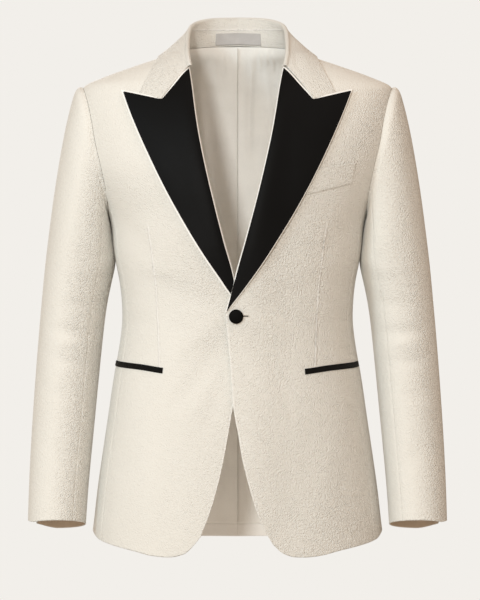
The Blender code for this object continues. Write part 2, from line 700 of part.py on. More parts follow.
def make_sleeves():
    grid = sleeve_grid()
    normals = grid_normals(grid, closed=True)
    outside = grid[-1, 0] - grid[-1].mean(axis=0)
    if np.dot(normals[-1, 0], outside) < 0:
        normals = -normals
    gap = SEAM_GAP / 2
    upper = list(range(BACK_SLEEVE_SEAM - SLEEVE_SIDES, FRONT_SLEEVE_SEAM + 1))
    under = list(range(FRONT_SLEEVE_SEAM, BACK_SLEEVE_SEAM + 1))
    for side in ("left", "right"):
        for name, columns in (("sleeve_upper_", upper), ("sleeve_under_", under)):
            face = grid[:, columns].copy()
            out = normals[:, columns]
            face[:, 0] += unit(face[:, 1] - face[:, 0]) * gap
            face[:, -1] += unit(face[:, -2] - face[:, -1]) * gap
            wall(name + side, "cloth", mirrored(face, side), mirrored(face - out * BODY_WALL, side))
        rows = grid[-CUFF_LINING_RINGS:].copy()
        out = normals[-CUFF_LINING_RINGS:]
        rows[-1] += (rows[-2] - rows[-1]) * CUFF_LINING_SHORT
        face = rows - out * (BODY_WALL + SEAM_GAP)
        inner = face - out * LINING_WALL
        wall("cuff_lining_" + side, "lining", mirrored(face, side), mirrored(inner, side), closed=True)


def make_button():
    """A cloth-covered button: a low dome turned about its own axis, facing the front."""
    x, z = BUTTON_CENTRE
    seat = body_surface(on_front(np.array([(x, z)])))[0]
    out = body_normal(seat)
    place = seat + out * (FRONT_LAP + SEAM_GAP + 0.3)
    radius = BUTTON_RADIUS
    height = BUTTON_HEIGHT
    profile = (
        (0.0, height), (0.45 * radius, 0.95 * height), (0.78 * radius, 0.80 * height),
        (0.95 * radius, 0.55 * height), (radius, 0.32 * height), (0.88 * radius, 0.10 * height),
        (0.70 * radius, 0.0), (0.0, 0.0),
    )
    mesh = bpy.data.meshes.new("button")
    edges = [(i, i + 1) for i in range(len(profile) - 1)]
    mesh.from_pydata([(r * MM, 0, h * MM) for r, h in profile], edges, [])
    made = add_object("button", mesh, "button")
    screw = made.modifiers.new("turn", "SCREW")
    screw.steps = BUTTON_STEPS
    screw.render_steps = BUTTON_STEPS
    screw.use_merge_vertices = True
    screw.merge_threshold = 0.00005
    screw.use_smooth_shade = True
    made.location = tuple(place * MM)
    made.rotation_euler = (math.atan2(-out[1], out[2]), 0, math.atan2(out[0], -out[1]))


def clear_scene():
    for found in list(bpy.data.objects):
        bpy.data.objects.remove(found, do_unlink=True)


def main():
    clear_scene()
    bpy.context.scene.collection.children.link(bpy.data.collections.new(COLLECTION))
    make_fronts()
    make_sides()
    make_backs()
    make_lapels()
    make_collar()
    make_breast_welt()
    make_hip_welts()
    make_sleeves()
    make_button()


main()
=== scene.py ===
"""The looks of the dinner jacket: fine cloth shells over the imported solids, their materials,
the studio light and the camera.

Every length in the tables is in millimetres and every angle in degrees; the meshes are made in
metres, and so are the lengths in the materials and the studio. +Z is up, the front faces -Y and
the wearer's left is +X. A place on the body is (theta, z): theta is 0 at the centre front, 90 at
the side and 180 at the centre back.
"""
import math
from collections import namedtuple

import bpy
import numpy as np
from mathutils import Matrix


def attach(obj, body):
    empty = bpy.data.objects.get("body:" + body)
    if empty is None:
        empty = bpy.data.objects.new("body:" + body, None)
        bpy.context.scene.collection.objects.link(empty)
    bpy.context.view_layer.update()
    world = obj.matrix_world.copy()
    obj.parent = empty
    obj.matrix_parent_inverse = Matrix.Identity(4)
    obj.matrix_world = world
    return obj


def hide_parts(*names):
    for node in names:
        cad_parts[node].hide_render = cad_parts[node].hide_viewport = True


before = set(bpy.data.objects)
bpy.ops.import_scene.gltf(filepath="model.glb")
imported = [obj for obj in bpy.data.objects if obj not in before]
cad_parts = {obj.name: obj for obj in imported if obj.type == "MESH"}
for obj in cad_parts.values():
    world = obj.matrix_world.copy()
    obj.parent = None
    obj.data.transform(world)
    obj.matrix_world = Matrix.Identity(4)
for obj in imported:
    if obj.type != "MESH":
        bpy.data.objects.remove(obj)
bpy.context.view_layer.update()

MM = 0.001
BODY = "root"
NEARLY_ZERO = 1e-9
SHORTEST = 1e-6

# How many fine cells stand for one cell of the solids
PANEL_REFINE = 9
COLUMN_REFINE = 6
LINING_REFINE = 5
LINING_COLUMNS = 13
LAPEL_REFINE = 6
SLEEVE_ROWS = 190
SLEEVE_COLUMNS = 88
COLLAR_REFINE = 6

# Cells along each stretch of a panel's outline, in the solids
CUTAWAY_CELLS = 5
EDGE_CELLS = 3
ROLL_CELLS = 8
NECK_CELLS = 3
SEAM_CELLS = 11
ARMHOLE_CELLS = 8
FRONT_COLUMNS = 10
SIDE_COLUMNS = 5
SHOULDER_COLUMNS = 5
BACK_NECK_COLUMNS = 6

# Cloth: how thick each kind is, and the gaps between layers
BODY_WALL = 1.8
LAPEL_WALL = 1.4
SATIN_WALL = 0.6
COLLAR_WALL = 2.4
LINING_WALL = 0.8
WELT_WALL = 1.5
LABEL_WALL = 0.9
LABEL_LIFT = 0.8
SEAM_GAP = 0.4
SATIN_SEAT = 0.15
WELT_SEAT = 0.1
CUFF_LINING_GAP = 0.5
HEM_TURN_DEPTHS = (0.2, 1.0)

# Edges and seams: how close the row beside an edge is, and how far sewn edges sink
RIM_REACH = 0.3
SEAM_DIP = 0.7
SEAM_SHOULDER = 0.25

# Lines drawn on a piece: the distance stored far from one, and how it fades past its ends
LINE_FAR = 50.0
LINE_FADE = 6

# The left front laps over the right one
FRONT_LAP = 5.6
LAP_FULL_X = 15.0
LAP_END_X = 78.0

# Lapels: the lift of the outer edge, how far the satin stays in from the roll edge, the outer
# edge and the ends, and how the left lapel crosses over the right one
LAPEL_RISE = 4.2
LAPEL_RISE_Z = (-374.0, -300.0)
SATIN_INSETS = {"left": (1.0, 0.9, 2.3), "right": (2.3, 2.3, 2.3)}
ROLL_INSET = 1.0
CROSSING_Z = -343.0
CROSSING_REACH = 10.0
CROSSING_TUCK = 3.2
CROSSING_LAP = 0.2
LAPEL_BULGE = 0.4

# An inset takes at most this share of a line, and a line counts as at least this steep to an edge
MOST_INSET = 0.35
LEAST_CROSS = 0.5

# A lapel's cells in the solids, and how far above its tip the points of the roll start
TIP_GAP = 4.0
LAPEL_ROWS = 15
GORGE_COLUMNS = 4
PEAK_COLUMNS = 3

# The soft roll of the lapel: how high it stands, how far in from the roll edge, and the cloth
# that turns under at that edge
ROLL_LIFT = 2.6
ROLL_REACH = 14.0
ROLL_Z = (-352.0, -285.0)
ROLL_UNDER = 1.3
ROLL_UNDER_REACH = 3.0

# Length along the cloth that one degree of theta stands for when edges are divided, and how
# many fine steps there are for each point given
DEGREE_LENGTH = 3.0
FINE_STEPS = 60


def named_rows(kind, *rows):
    """Return rows of plain values as rows with named columns."""
    return tuple(kind(*row) for row in rows)


Ring = namedtuple("Ring", "z half_width front_depth back_depth roundness")
BODY_RINGS = named_rows(
    Ring,
    (-740, 214, 142, 137, 2.30),
    (-699, 209.5, 140, 134, 2.30),
    (-639, 203.5, 138, 131, 2.30),
    (-582, 195.5, 136, 127, 2.30),
    (-525, 187, 133.5, 121, 2.30),
    (-468, 178.8, 130.5, 113.5, 2.30),
    (-422, 170.4, 128, 108, 2.30),
    (-384, 166.5, 128, 106, 2.30),
    (-336, 170, 130.5, 110, 2.30),
    (-302, 177, 133.5, 115, 2.30),
    (-245, 183.8, 136, 122, 2.30),
    (-219, 193.5, 136, 124, 2.30),
    (-196, 204.5, 135, 125, 2.30),
    (-162, 218, 131, 124, 2.30),
    (-122, 226.5, 123, 120, 2.28),
    (-80, 229, 109, 111, 2.25),
    (-62, 227.5, 100, 103.5, 2.23),
    (-51, 222.5, 94, 99, 2.22),
    (-38, 195, 86, 92, 2.20),
    (-22, 151, 76, 83, 2.18),
    (-11, 118, 68, 76, 2.15),
    (0, 84, 60, 70, 2.10),
    (20, 77, 53, 63, 2.10),
)
BLUR_REACH = 40
BLUR_LOW = 11.0
BLUR_HIGH = 1.5
BLUR_CHANGE_Z = (-130.0, -70.0)

# Seams on the body, as (theta, z)
SIDE_FRONT_SEAM = ((67, -702.5), (67, -560), (68, -450), (69, -384), (70.5, -304), (71.8, -250),
                   (73.5, -219))
SIDE_BACK_SEAM = ((116, -703), (116, -560), (115.5, -450), (114.5, -384), (113, -304), (111, -250),
                  (109.5, -217))
SIDE_HEM = ((67, -702.5), (78, -699.5), (90, -699), (103, -700.5), (116, -703))
BACK_HEM = ((116, -703), (135, -707.5), (155, -711.5), (179.98, -713))
CENTRE_BACK_Z = (-713, -190, 14)
CENTRE_BACK_THETA = 179.98
SHOULDER_SEAM = ((90, -51.5), (90, -38), (90, -22), (90, -9), (90, 5.5))
BACK_NECK = ((90, 5.5), (108, 7.5), (130, 11), (155, 13.4), (179.98, 14))
ARMHOLE_FRONT = ((90, -51.5), (78, -57), (71.5, -68), (66.8, -88), (63.8, -122), (63, -160),
                 (66.5, -195), (73.5, -219))
ARMHOLE_BACK = ((90, -51.5), (101.5, -57), (109, -70), (114.5, -92), (118, -125), (119, -160),
                (115.8, -192), (109.5, -217))
ARMHOLE_BASE = ((73.5, -219), (81.5, -233.5), (92, -239.5), (101.5, -233), (109.5, -217))
SEAM_TURN = 0.05
NECK_CROWD = 1.6
SETTLE_STEPS = 10

# The step over which body_gradient measures, and how lift moves points out
GRADIENT_STEP = 1.5
LIFT_STEPS = 12
LIFT_SHARE = 0.6
LIFT_TOP = 6.0

# Edges of the fronts, as (distance from the centre towards the front's own side, z)
FrontCut = namedtuple("FrontCut", "cutaway edge roll hem")
LEFT_CUT = FrontCut(
    cutaway=((49.5, -702), (38.5, -683), (26, -653), (15.5, -617.5), (6.5, -580), (-0.7, -538),
             (-6, -507)),
    edge=((-6, -507), (-10, -445), (-14, -405), (-15.7, -375.5)),
    roll=((-15.7, -375.5), (-9.7, -353.5), (-7.3, -347), (-4.0, -331), (11, -275.3), (25.7, -219.7),
          (39.1, -164.3), (48.3, -121.9), (53.3, -93.4), (59, -58.4), (64, -25.5)),
    hem=((49.5, -702), (64, -714.5), (81, -720), (98, -720.5), (115, -719), (146, -712.5)),
)
RIGHT_CUT = FrontCut(
    cutaway=((52, -691.5), (39.7, -660.5), (29, -624.5), (20.5, -588.5), (13.6, -551), (5.8, -507)),
    edge=((5.8, -507), (-2, -460), (-8, -420), (-10, -378)),
    roll=((-10, -378), (4.5, -331.4), (19.3, -275.5), (33.4, -219.5), (46.4, -163.5), (54.7, -121.1),
          (59.1, -92.5), (63.6, -57.7), (67.2, -25.5)),
    hem=((52, -691.5), (61, -703), (76, -716), (98, -720.5), (120, -719), (146, -713.5)),
)
CUTS = {"left": LEFT_CUT, "right": RIGHT_CUT}
FRONT_NECK = ((68, -14), (72.5, -4), (78.5, 3))

# Lapels, as (distance from the centre, z)
LAPEL_OUTER = {
    "left": ((8.9, -344.9), (18.9, -330.8), (37.8, -303), (55.4, -275.3), (72.7, -247.4), (88.7, -219.1),
             (103.8, -191.1), (117.9, -163), (137.5, -120.5), (149.8, -91.8), (161.8, -61.7)),
    "right": ((10.5, -352.6), (15.9, -345.3), (25.1, -331.2), (43.8, -303.3), (61.4, -275.3),
              (77.6, -247.3), (93.3, -219), (108, -191), (121.8, -162.9), (141.3, -120.4),
              (153.2, -91.7), (163.9, -62.5)),
}
NOTCH = (107, -75.4)
GORGE_SHIFT = (0.9, -2.6)
GORGE_COVER = (-0.4, -1.3)
LAPEL_TIP = {"left": ((-16.3, -377.8), (-13.2, -374.0)), "right": ((0.5, -364), (6.5, -358))}

# Collar, as points in space on its +X half, from the centre back to the gorge
COLLAR_FOLD = ((0, 71, 54), (30, 65, 52.8), (55.5, 45, 47), (68, 18, 37), (71.2, -8, 24.5),
               (71.8, -32, 11), (71.5, -54, -2), (70, -71, -15), (67.5, -80, -27))
COLLAR_EDGE_BACK = ((179.98, 1), (155, 0), (130, -2), (108, -6), (90, -9.5), (69.5, -11.9))
COLLAR_EDGE_FRONT = ((116.6, -19.4), (138.9, -66.9))
COLLAR_NECK_END = (67.5, -24)

# The collar's columns up the stand and over the fold, and the one where its fall starts
STAND_COLUMNS = 12
FOLD_COLUMNS = 13
FALL_START = STAND_COLUMNS + FOLD_COLUMNS - 1

# How the collar is folded, how far it clears the body, and how its stand meets the neck
FOLD_RAISE = 1.0
COLLAR_FOLD_RADIUS = 3.4
COLLAR_CLEARANCE = 4.3
COLLAR_EDGE_POINTS = 8
INSIDE_NECK_Y = 5.0
COLLAR_STATIONS = 13
COLLAR_FALL_ROUND = 1.6
NOTCH_FADE = 5.0
NECK_GAP = 0.95
STAND_TUCK = (-0.8, 1.2, 2.0)
STAND_TUCK_AT = (0, 0.25, 1)
STAND_RETREAT = 0.75
RETREAT_START = 0.6
RETREAT_REACH = 0.2
STAND_SEAM_Z = 31.0
STAND_SEAM_SLOPE = 0.09

# The collar's foot sinks over its first columns. The last share of its columns drops and thins.
COLLAR_FOOT_DIP = 2.0
COLLAR_FOOT_COLUMNS = 4
COLLAR_EDGE_START = 0.72
COLLAR_EDGE_SHARE = 0.28
COLLAR_EDGE_DROP = 2.2
COLLAR_EDGE_THIN = 0.9

# The label on the collar's stand: its rows, how far up the stand it reaches, and how far its
# middle stands off
LABEL_ROWS = 9
LABEL_SHARES = (0.03, 0.50)
LABEL_BOW = 0.5

# Pockets
BREAST_WELT = {"bottom": ((90, -213.5), (126, -204), (162.3, -194.8)),
               "top": ((104, -177), (135, -171.4), (167.2, -165.5))}
HIP_WELTS = {"left": ((29.3, -460.6), (46.5, -455.5), (80, -451.3)),
             "right": ((33.4, -459.3), (49.5, -454.5), (84, -450.5))}
HIP_WELT_HEIGHT = 7.5
BREAST_WELT_CELLS = (20, 44)
HIP_WELT_CELLS = (8, 70)
BREAST_WELT_LEAN = 1.1
WELT_UNDER = {"breast": 0.3, "hip": 0.4}

# Darts on the fronts, as (distance from the centre, z)
DART = ((125, -256), (117.5, -310), (113.5, -345), (110.5, -400), (109, -440), (108.5, -452))

# Sleeve rings: the outermost point, the innermost point, half the depth, the middle in y and
# how much lower the back of the ring is than its front
SleeveRing = namedtuple("SleeveRing", "outer_x outer_z inner_x inner_z half_depth centre_y back_drop")
SLEEVE_RINGS = named_rows(
    SleeveRing,
    (223.6, -52, 183.8, -239.5, 66, 2.5, 0),
    (229.5, -50.6, 185.6, -246, 67.5, 3, 0),
    (235, -56, 183.2, -252, 69, 3.5, 0),
    (240.5, -73, 181.4, -258.5, 70.3, 4, 0),
    (247, -99, 180.3, -265.5, 71.3, 4.5, 0),
    (254, -133, 179.2, -273.5, 72.2, 5, 0),
    (260.5, -171, 178.2, -282.5, 72.8, 5.5, 0),
    (267, -213, 176.9, -294, 72.8, 6, 0),
    (273, -259, 177.4, -308, 71.5, 6, 0),
    (279, -308, 182.8, -333, 68.5, 6, 0),
    (284, -362, 190.5, -371, 65, 5, 0),
    (288.5, -415, 195.5, -415, 62, 2, 0),
    (292, -464, 200, -462, 59.5, -3, 0),
    (295, -512, 204.3, -509, 57, -9, 0),
    (297.5, -558, 208.5, -556, 54.5, -16, 2),
    (299.3, -602, 212.5, -600, 52, -23, 6),
    (300.5, -643, 215.8, -642, 50, -30, 13),
    (301, -682, 218, -681, 49, -36, 19),
)
SLEEVE_SIDES = 20
SLEEVE_ROUNDNESS = 2.1

# The seams by the sleeve's sides; how the rows crowd near the cap; the rings that ease into the
# armhole; how often bends are softened; and millimetres round the sleeve for each degree
SLEEVE_SEAMS = (7, 17)
SLEEVE_CROWD = 0.35
CAP_RINGS = 6
SLEEVE_SOFTENING = 24
SLEEVE_CREASE_SCALE = 0.87

# Where the sleeve meets the body: the loop is drawn in about its centre, and sits in the cloth
ARMHOLE_CENTRE = (91.0, -145.0)
ARMHOLE_SCALE = (0.992, 0.997)
ARMHOLE_FINE = 100
ARMHOLE_CLEAR = -0.6

# The step at the outer side of each cuff: where its level part and the step end, as cosines of
# the turn round the sleeve, and how far up it fades
VENT_LAP_START = 0.76
VENT_STEP_REACH = 0.7
VENT_STEP_SHARE = 0.4
VENT_STEP_POWER = 1.4
VENT_FADE = 40.0

# The lining in the cuffs, as shares of the sleeve's length
CUFF_LINING_TOP = 0.86
CUFF_LINING_END = 0.985

# Button and buttonhole
BUTTON_CENTRE = (-1.9, -382.8)
BUTTON_RADIUS = 10.1
BUTTON_HEIGHT = 4.6
BUTTON_RAISE = 0.3
HOLE_RAISE = 0.6
HOLE_TIP_STRETCH = 1.4
HOLE_START_X = -2.0
HOLE_END_X = 15.3
HOLE_HALF_WIDTH = 0.75
HOLE_THREAD_RADIUS = 0.55
HOLE_STITCH_PITCH = 0.9
BUTTON_SIDES = 64
THREAD_SIDES = 8
THREAD_END = 0.15

# The hem's corners at the body's two sides, rounded off
HEM_CORNER_X = 198.0
HEM_CORNER_REACH = 12.0
HEM_CORNER_Z = -700.0
HEM_CORNER_FADE = 60.0
HEM_CORNER_LIFT = 9.0

# Lining and hem
TURN_UP_SHARE = 0.42
PLEAT_RISE = 4.2
PLEAT_REACH = 6.0
LINING_GAP = 0.6
LINING_FOLDS = 1.4

# Soft creases in the cloth. A front's or a back's runs between two places given as (distance
# from the centre, z); a sleeve's as (distance round the sleeve from its outside, z). Depth is
# negative for a trough. A crease fades at its ends, the faster the lower the power.
CREASE_END_POWER = 0.7
Crease = namedtuple("Crease", "x0 z0 x1 z1 bow width depth")
FRONT_CREASES = named_rows(
    Crease,
    (10, -392, 96, -520, 6, 16, -1.5),
    (20, -384, 120, -470, -5, 14, 0.9),
    (8, -420, 58, -560, 5, 13, -0.9),
    (22, -368, 128, -322, 6, 15, -0.9),
    (60, -330, 150, -296, 5, 13, 0.7),
    (178, -236, 116, -318, 7, 13, -1.3),
    (186, -262, 142, -352, 5, 11, 0.8),
    (164, -402, 118, -388, 3, 9, -0.9),
    (168, -372, 112, -366, -3, 11, 0.6),
    (150, -480, 128, -690, 8, 24, 0.9),
    (104, -500, 76, -700, -6, 22, -0.8),
)
BACK_CREASES = named_rows(
    Crease,
    (168, -396, 30, -372, 7, 12, -1.5),
    (166, -374, 60, -350, 5, 12, 0.9),
    (164, -420, 46, -428, -6, 12, -1),
    (196, -172, 110, -250, 8, 16, -1.4),
    (190, -206, 128, -320, 7, 14, 0.9),
    (186, -104, 96, -128, 5, 17, -1),
    (60, 4, 96, -60, 5, 14, -0.7),
    (120, -470, 150, -690, -7, 24, 1.1),
    (56, -500, 62, -706, 5, 22, -1),
)
SLEEVE_CREASES = named_rows(
    Crease,
    (34, -396, 142, -404, 6, 9, -1.3),
    (48, -418, 150, -442, -5, 9, 1),
    (26, -430, 128, -452, 6, 8, -1),
    (60, -366, 150, -352, 5, 10, -0.9),
    (70, -320, 150, -290, 7, 12, 0.9),
    (20, -470, 96, -500, 5, 11, -0.7),
    (222, -398, 300, -420, 6, 10, -1.2),
    (206, -430, 290, -462, -5, 10, 0.8),
    (60, -560, 112, -600, 5, 13, -0.7),
    (22, -120, 62, -210, 6, 14, -0.8),
    (330, -118, 296, -214, -6, 14, -0.8),
)
LINING_CREASES = named_rows(
    Crease,
    (-59, 14, -38, -260, 2, 9, 4.2),
    (-34, 12, -24, -150, -2, 6, 0.9),
    (23, 14, 18, -150, 2, 5, 2.8),
    (40, 14, 52, -170, -3, 7, 2.4),
    (34, 13, 35, -18, 0, 2.2, 1.3),
    (44, 12, 45, -14, 0, 2, 1.2),
    (52, 10, 54, -20, 0, 2.4, 1.3),
    (-22, 13, -20, -30, 0, 3, 0.8),
    (-30, -400, -34, -700, -3, 5, 2),
    (-11, -420, -13, -700, 1, 3, 1.2),
    (14, -410, 15, -700, 1, 3, 1.5),
    (33, -430, 38, -700, 3, 7, 2.2),
    (96, -200, 100, -690, 5, 11, 1.5),
    (-96, -200, -100, -690, 5, 11, 1.5),
)


def curve_through(knots, values):
    """Return a smooth function through the points, with no overshoot between them."""
    order = np.argsort(knots)
    knots = np.asarray(knots, float)[order]
    values = np.asarray(values, float)[order]
    steps = np.diff(knots)
    slopes = np.diff(values) / steps
    tangents = np.zeros(len(knots))
    tangents[0] = slopes[0]
    tangents[-1] = slopes[-1]
    for i in range(1, len(knots) - 1):
        if slopes[i - 1] * slopes[i] > 0:
            before = 2 * steps[i] + steps[i - 1]
            after = steps[i] + 2 * steps[i - 1]
            tangents[i] = (before + after) / (before / slopes[i - 1] + after / slopes[i])

    def value(place):
        place = np.clip(place, knots[0], knots[-1])
        i = np.clip(np.searchsorted(knots, place) - 1, 0, len(steps) - 1)
        t = (place - knots[i]) / steps[i]
        rest = 1 - t
        ends = values[i] * (1 + 2 * t) * rest ** 2 + values[i + 1] * (1 + 2 * rest) * t ** 2
        bends = steps[i] * t * rest * (tangents[i] * rest - tangents[i + 1] * t)
        return ends + bends

    return value


def share_between(value, start, full):
    """Return 0 up to the start, 1 from full on, and an even share between."""
    return np.clip((value - start) / (full - start), 0, 1)


def ring_curve(field):
    """Return a function of z through one column of BODY_RINGS, its bends rounded off."""
    heights = [ring.z for ring in BODY_RINGS]
    rough = curve_through(heights, [getattr(ring, field) for ring in BODY_RINGS])
    reach = np.arange(-BLUR_REACH, BLUR_REACH + 1)
    z = np.arange(heights[0], heights[-1] + 1)
    padded = np.pad(rough(z), BLUR_REACH, mode="reflect", reflect_type="odd")

    def blurred(width):
        weights = np.exp(-0.5 * (reach / width) ** 2)
        return np.convolve(padded, weights / weights.sum(), mode="valid")

    share = share_between(z, *BLUR_CHANGE_Z)
    smooth = (1 - share) * blurred(BLUR_LOW) + share * blurred(BLUR_HIGH)
    return lambda place: np.interp(place, z, smooth)


half_width = ring_curve("half_width")
front_depth = ring_curve("front_depth")
back_depth = ring_curve("back_depth")
roundness = ring_curve("roundness")


def body_surface(places):
    """Return the points in space of an array of (theta, z) places."""
    angle = np.radians(places[..., 0])
    z = places[..., 1]
    power = 2 / roundness(z)
    sine = np.sin(angle)
    cosine = np.cos(angle)
    depth = np.where(cosine > 0, front_depth(z), back_depth(z))
    x = half_width(z) * np.sign(sine) * np.abs(sine) ** power
    y = -depth * np.sign(cosine) * np.abs(cosine) ** power
    return np.stack([x, y, z], axis=-1)


def body_level(points):
    """Return 1 on the body's surface, less inside it and more outside."""
    x, y, z = points[..., 0], points[..., 1], points[..., 2]
    power = roundness(z)
    depth = np.where(y < 0, front_depth(z), back_depth(z))
    return ((np.abs(x) / half_width(z)) ** power + (np.abs(y) / depth) ** power) ** (1 / power)


def body_gradient(points):
    """Return the change of body_level along x, y and z."""
    step = GRADIENT_STEP
    parts = []
    for axis in range(3):
        shift = np.zeros(3)
        shift[axis] = step
        parts.append((body_level(points + shift) - body_level(points - shift)) / (2 * step))
    return np.stack(parts, axis=-1)


def unit(vectors):
    return vectors / np.maximum(np.linalg.norm(vectors, axis=-1, keepdims=True), NEARLY_ZERO)


def body_normal(points):
    """Return the direction straight out of the body at points near its surface."""
    return unit(body_gradient(points))


def lift(points, clearance):
    """Move the points below LIFT_TOP out, until they clear the body's surface."""
    points = np.array(points, float)
    for _ in range(LIFT_STEPS):
        gradient = body_gradient(points)
        steepness = np.linalg.norm(gradient, axis=-1)
        distance = (body_level(points) - 1) / steepness
        short = np.clip(clearance - distance, 0, None) * (points[..., 2] < LIFT_TOP)
        points = points + gradient * (LIFT_SHARE * short / steepness)[..., None]
    return points


def on_front(pairs):
    """Return the (theta, z) places of (x, z) pairs on the front of the body."""
    pairs = np.asarray(pairs, float)
    x, z = pairs[..., 0], pairs[..., 1]
    ratio = np.clip(np.abs(x) / half_width(z), 0, 1)
    theta = np.degrees(np.arcsin(ratio ** (roundness(z) / 2)))
    return np.stack([np.sign(x) * theta, z], axis=-1)


def travelled(points, axis=0):
    """Return the distance from the first point to each point, along one axis of a grid."""
    steps = np.linalg.norm(np.diff(points, axis=axis), axis=-1)
    start = np.zeros_like(np.take(steps, [0], axis=axis))
    return np.concatenate([start, np.cumsum(steps, axis=axis)], axis=axis)


def spaced(points, cells, crowd=1.0):
    """Return cells + 1 points along a smooth line through the given ones. They are evenly spaced,
    or with crowd above 1 they are closer together near its start."""
    points = np.asarray(points, float)
    weights = np.ones(points.shape[1])
    if points.shape[1] == 2:
        weights[0] = DEGREE_LENGTH
    along = travelled(points * weights)
    fine = np.linspace(0, along[-1], FINE_STEPS * len(points))
    line = np.stack([curve_through(along, column)(fine) for column in points.T], axis=-1)
    along = travelled(line * weights)
    even = along[-1] * np.linspace(0, 1, cells + 1) ** crowd
    return np.stack([np.interp(even, along, column) for column in line.T], axis=-1)


def spaced_flat(points, cells):
    """Like spaced, for points that are millimetres both ways."""
    flat = np.asarray(points, float) / np.array([DEGREE_LENGTH, 1.0])
    return spaced(flat, cells) * np.array([DEGREE_LENGTH, 1.0])


def chain(*runs):
    """Join runs of points that share their end points."""
    return np.concatenate([runs[0]] + [run[1:] for run in runs[1:]])


def patch(bottom, top, left, right):
    """Fill four edges with a smooth grid. Rows run from bottom to top, columns left to right."""
    u = np.linspace(0, 1, len(bottom))[None, :, None]
    v = np.linspace(0, 1, len(left))[:, None, None]
    between_rows = (1 - v) * bottom[None] + v * top[None]
    between_columns = (1 - u) * left[:, None] + u * right[:, None]
    corners = (1 - v) * ((1 - u) * bottom[0] + u * bottom[-1]) + v * ((1 - u) * top[0] + u * top[-1])
    return between_rows + between_columns - corners


def settled(points):
    """Bring points near the body onto its surface, by the shortest way."""
    for _ in range(SETTLE_STEPS):
        gradient = body_gradient(points)
        excess = (body_level(points) - 1)[..., None]
        points = points - gradient * excess / (gradient ** 2).sum(axis=-1, keepdims=True)
    return points


def body_patch(bottom, top, left, right):
    """Fill four edges given as places with a grid of points on the body, even in space."""
    edges = [body_surface(np.asarray(edge, float)) for edge in (bottom, top, left, right)]
    points = settled(patch(*edges))
    points[0], points[-1] = edges[0], edges[1]
    points[:, 0], points[:, -1] = edges[2], edges[3]
    return points


def grid_normals(grid, closed=False):
    """Return the unit normals of a grid of points; a closed grid's columns go round."""
    if closed:
        across = np.roll(grid, -1, axis=1) - np.roll(grid, 1, axis=1)
    else:
        across = np.gradient(grid, axis=1)
    along = np.gradient(grid, axis=0)
    return unit(np.cross(across, along))


def with_rims(grid, closed=False):
    """Add a row or column close inside each edge, so that the edge can turn sharply."""
    for axis in (0,) if closed else (0, 1):
        turned = np.moveaxis(grid, axis, 0)
        first = turned[0] + (turned[1] - turned[0]) * RIM_REACH
        last = turned[-1] + (turned[-2] - turned[-1]) * RIM_REACH
        turned = np.concatenate([turned[:1], first[None], turned[1:-1], last[None], turned[-1:]])
        grid = np.moveaxis(turned, 0, axis)
    return grid


def seam_dips(shape, bottom=0.0, top=0.0, left=0.0, right=0.0):
    """Return how far a grid with rims sinks at each edge that is sewn, as 1 for a full seam."""
    dips = np.zeros(shape)
    for lines, edges in ((dips, (bottom, top)), (dips.T, (left, right))):
        for (edge, beside), amount in zip(((0, 1), (-1, -2)), edges):
            lines[edge] = np.maximum(lines[edge], SEAM_DIP * amount)
            lines[beside] = np.maximum(lines[beside], SEAM_SHOULDER * amount)
    return dips[..., None]


def crease_heights(x, z, creases):
    """Return how far soft creases raise the cloth at places (x, z)."""
    heights = np.zeros_like(x)
    for crease in creases:
        run = np.array([crease.x1 - crease.x0, crease.z1 - crease.z0], float)
        length = np.hypot(*run)
        along = ((x - crease.x0) * run[0] + (z - crease.z0) * run[1]) / length ** 2
        aside = ((x - crease.x0) * run[1] - (z - crease.z0) * run[0]) / length
        inside = np.clip(along, 0, 1)
        aside = aside - crease.bow * 4 * inside * (1 - inside)
        beyond = (along - inside) * length
        fade = np.sin(math.pi * inside) ** CREASE_END_POWER
        heights += crease.depth * fade * np.exp(-(aside ** 2 + beyond ** 2) / crease.width ** 2)
    return heights


def mirrored(grid, side):
    """Return the grid on its own side of the body; a piece in the middle has no side."""
    return grid * np.array([-1.0, 1.0, 1.0]) if side == "right" else grid


def lap(x, side):
    """Return how far the left front stands out where it laps over the right one."""
    if side == "right":
        return np.zeros_like(x)
    t = share_between(x, LAP_END_X, LAP_FULL_X)
    return FRONT_LAP * t * t * (3 - 2 * t)


def cloth_places(face):
    """Return each point's distance across and along the cloth, for its UV map."""
    across = travelled(face, axis=1)
    along = travelled(face, axis=0).mean(axis=1)[:, None]
    return np.stack([across, np.broadcast_to(along, across.shape)], axis=-1)


def outward_edges(face, closed):
    """Return the direction away from the cloth at each edge point of a grid."""
    away = np.zeros_like(face)
    away[0] += unit(face[0] - face[1])
    away[-1] += unit(face[-1] - face[-2])
    if not closed:
        away[:, 0] += unit(face[:, 0] - face[:, 1])
        away[:, -1] += unit(face[:, -1] - face[:, -2])
    return unit(away)


def edge_loops(rows, columns, closed):
    """Return the loops of points round a grid, in order, by their index."""
    index = np.arange(rows * columns).reshape(rows, columns)
    if closed:
        return [index[0], index[-1, ::-1]]
    return [np.concatenate([index[0], index[1:-1, -1], index[-1, ::-1], index[-2:0:-1, 0]])]


def grid_quads(rows, columns, closed=True):
    """Return the corners of a grid's cells by index; a closed grid's columns go round."""
    index = np.arange(rows * columns).reshape(rows, columns)
    ahead = np.roll(index, -1, axis=1) if closed else index[:, 1:]
    here = index if closed else index[:, :-1]
    return np.stack([here[:-1], ahead[:-1], ahead[1:], here[1:]], axis=-1).reshape(-1, 4)


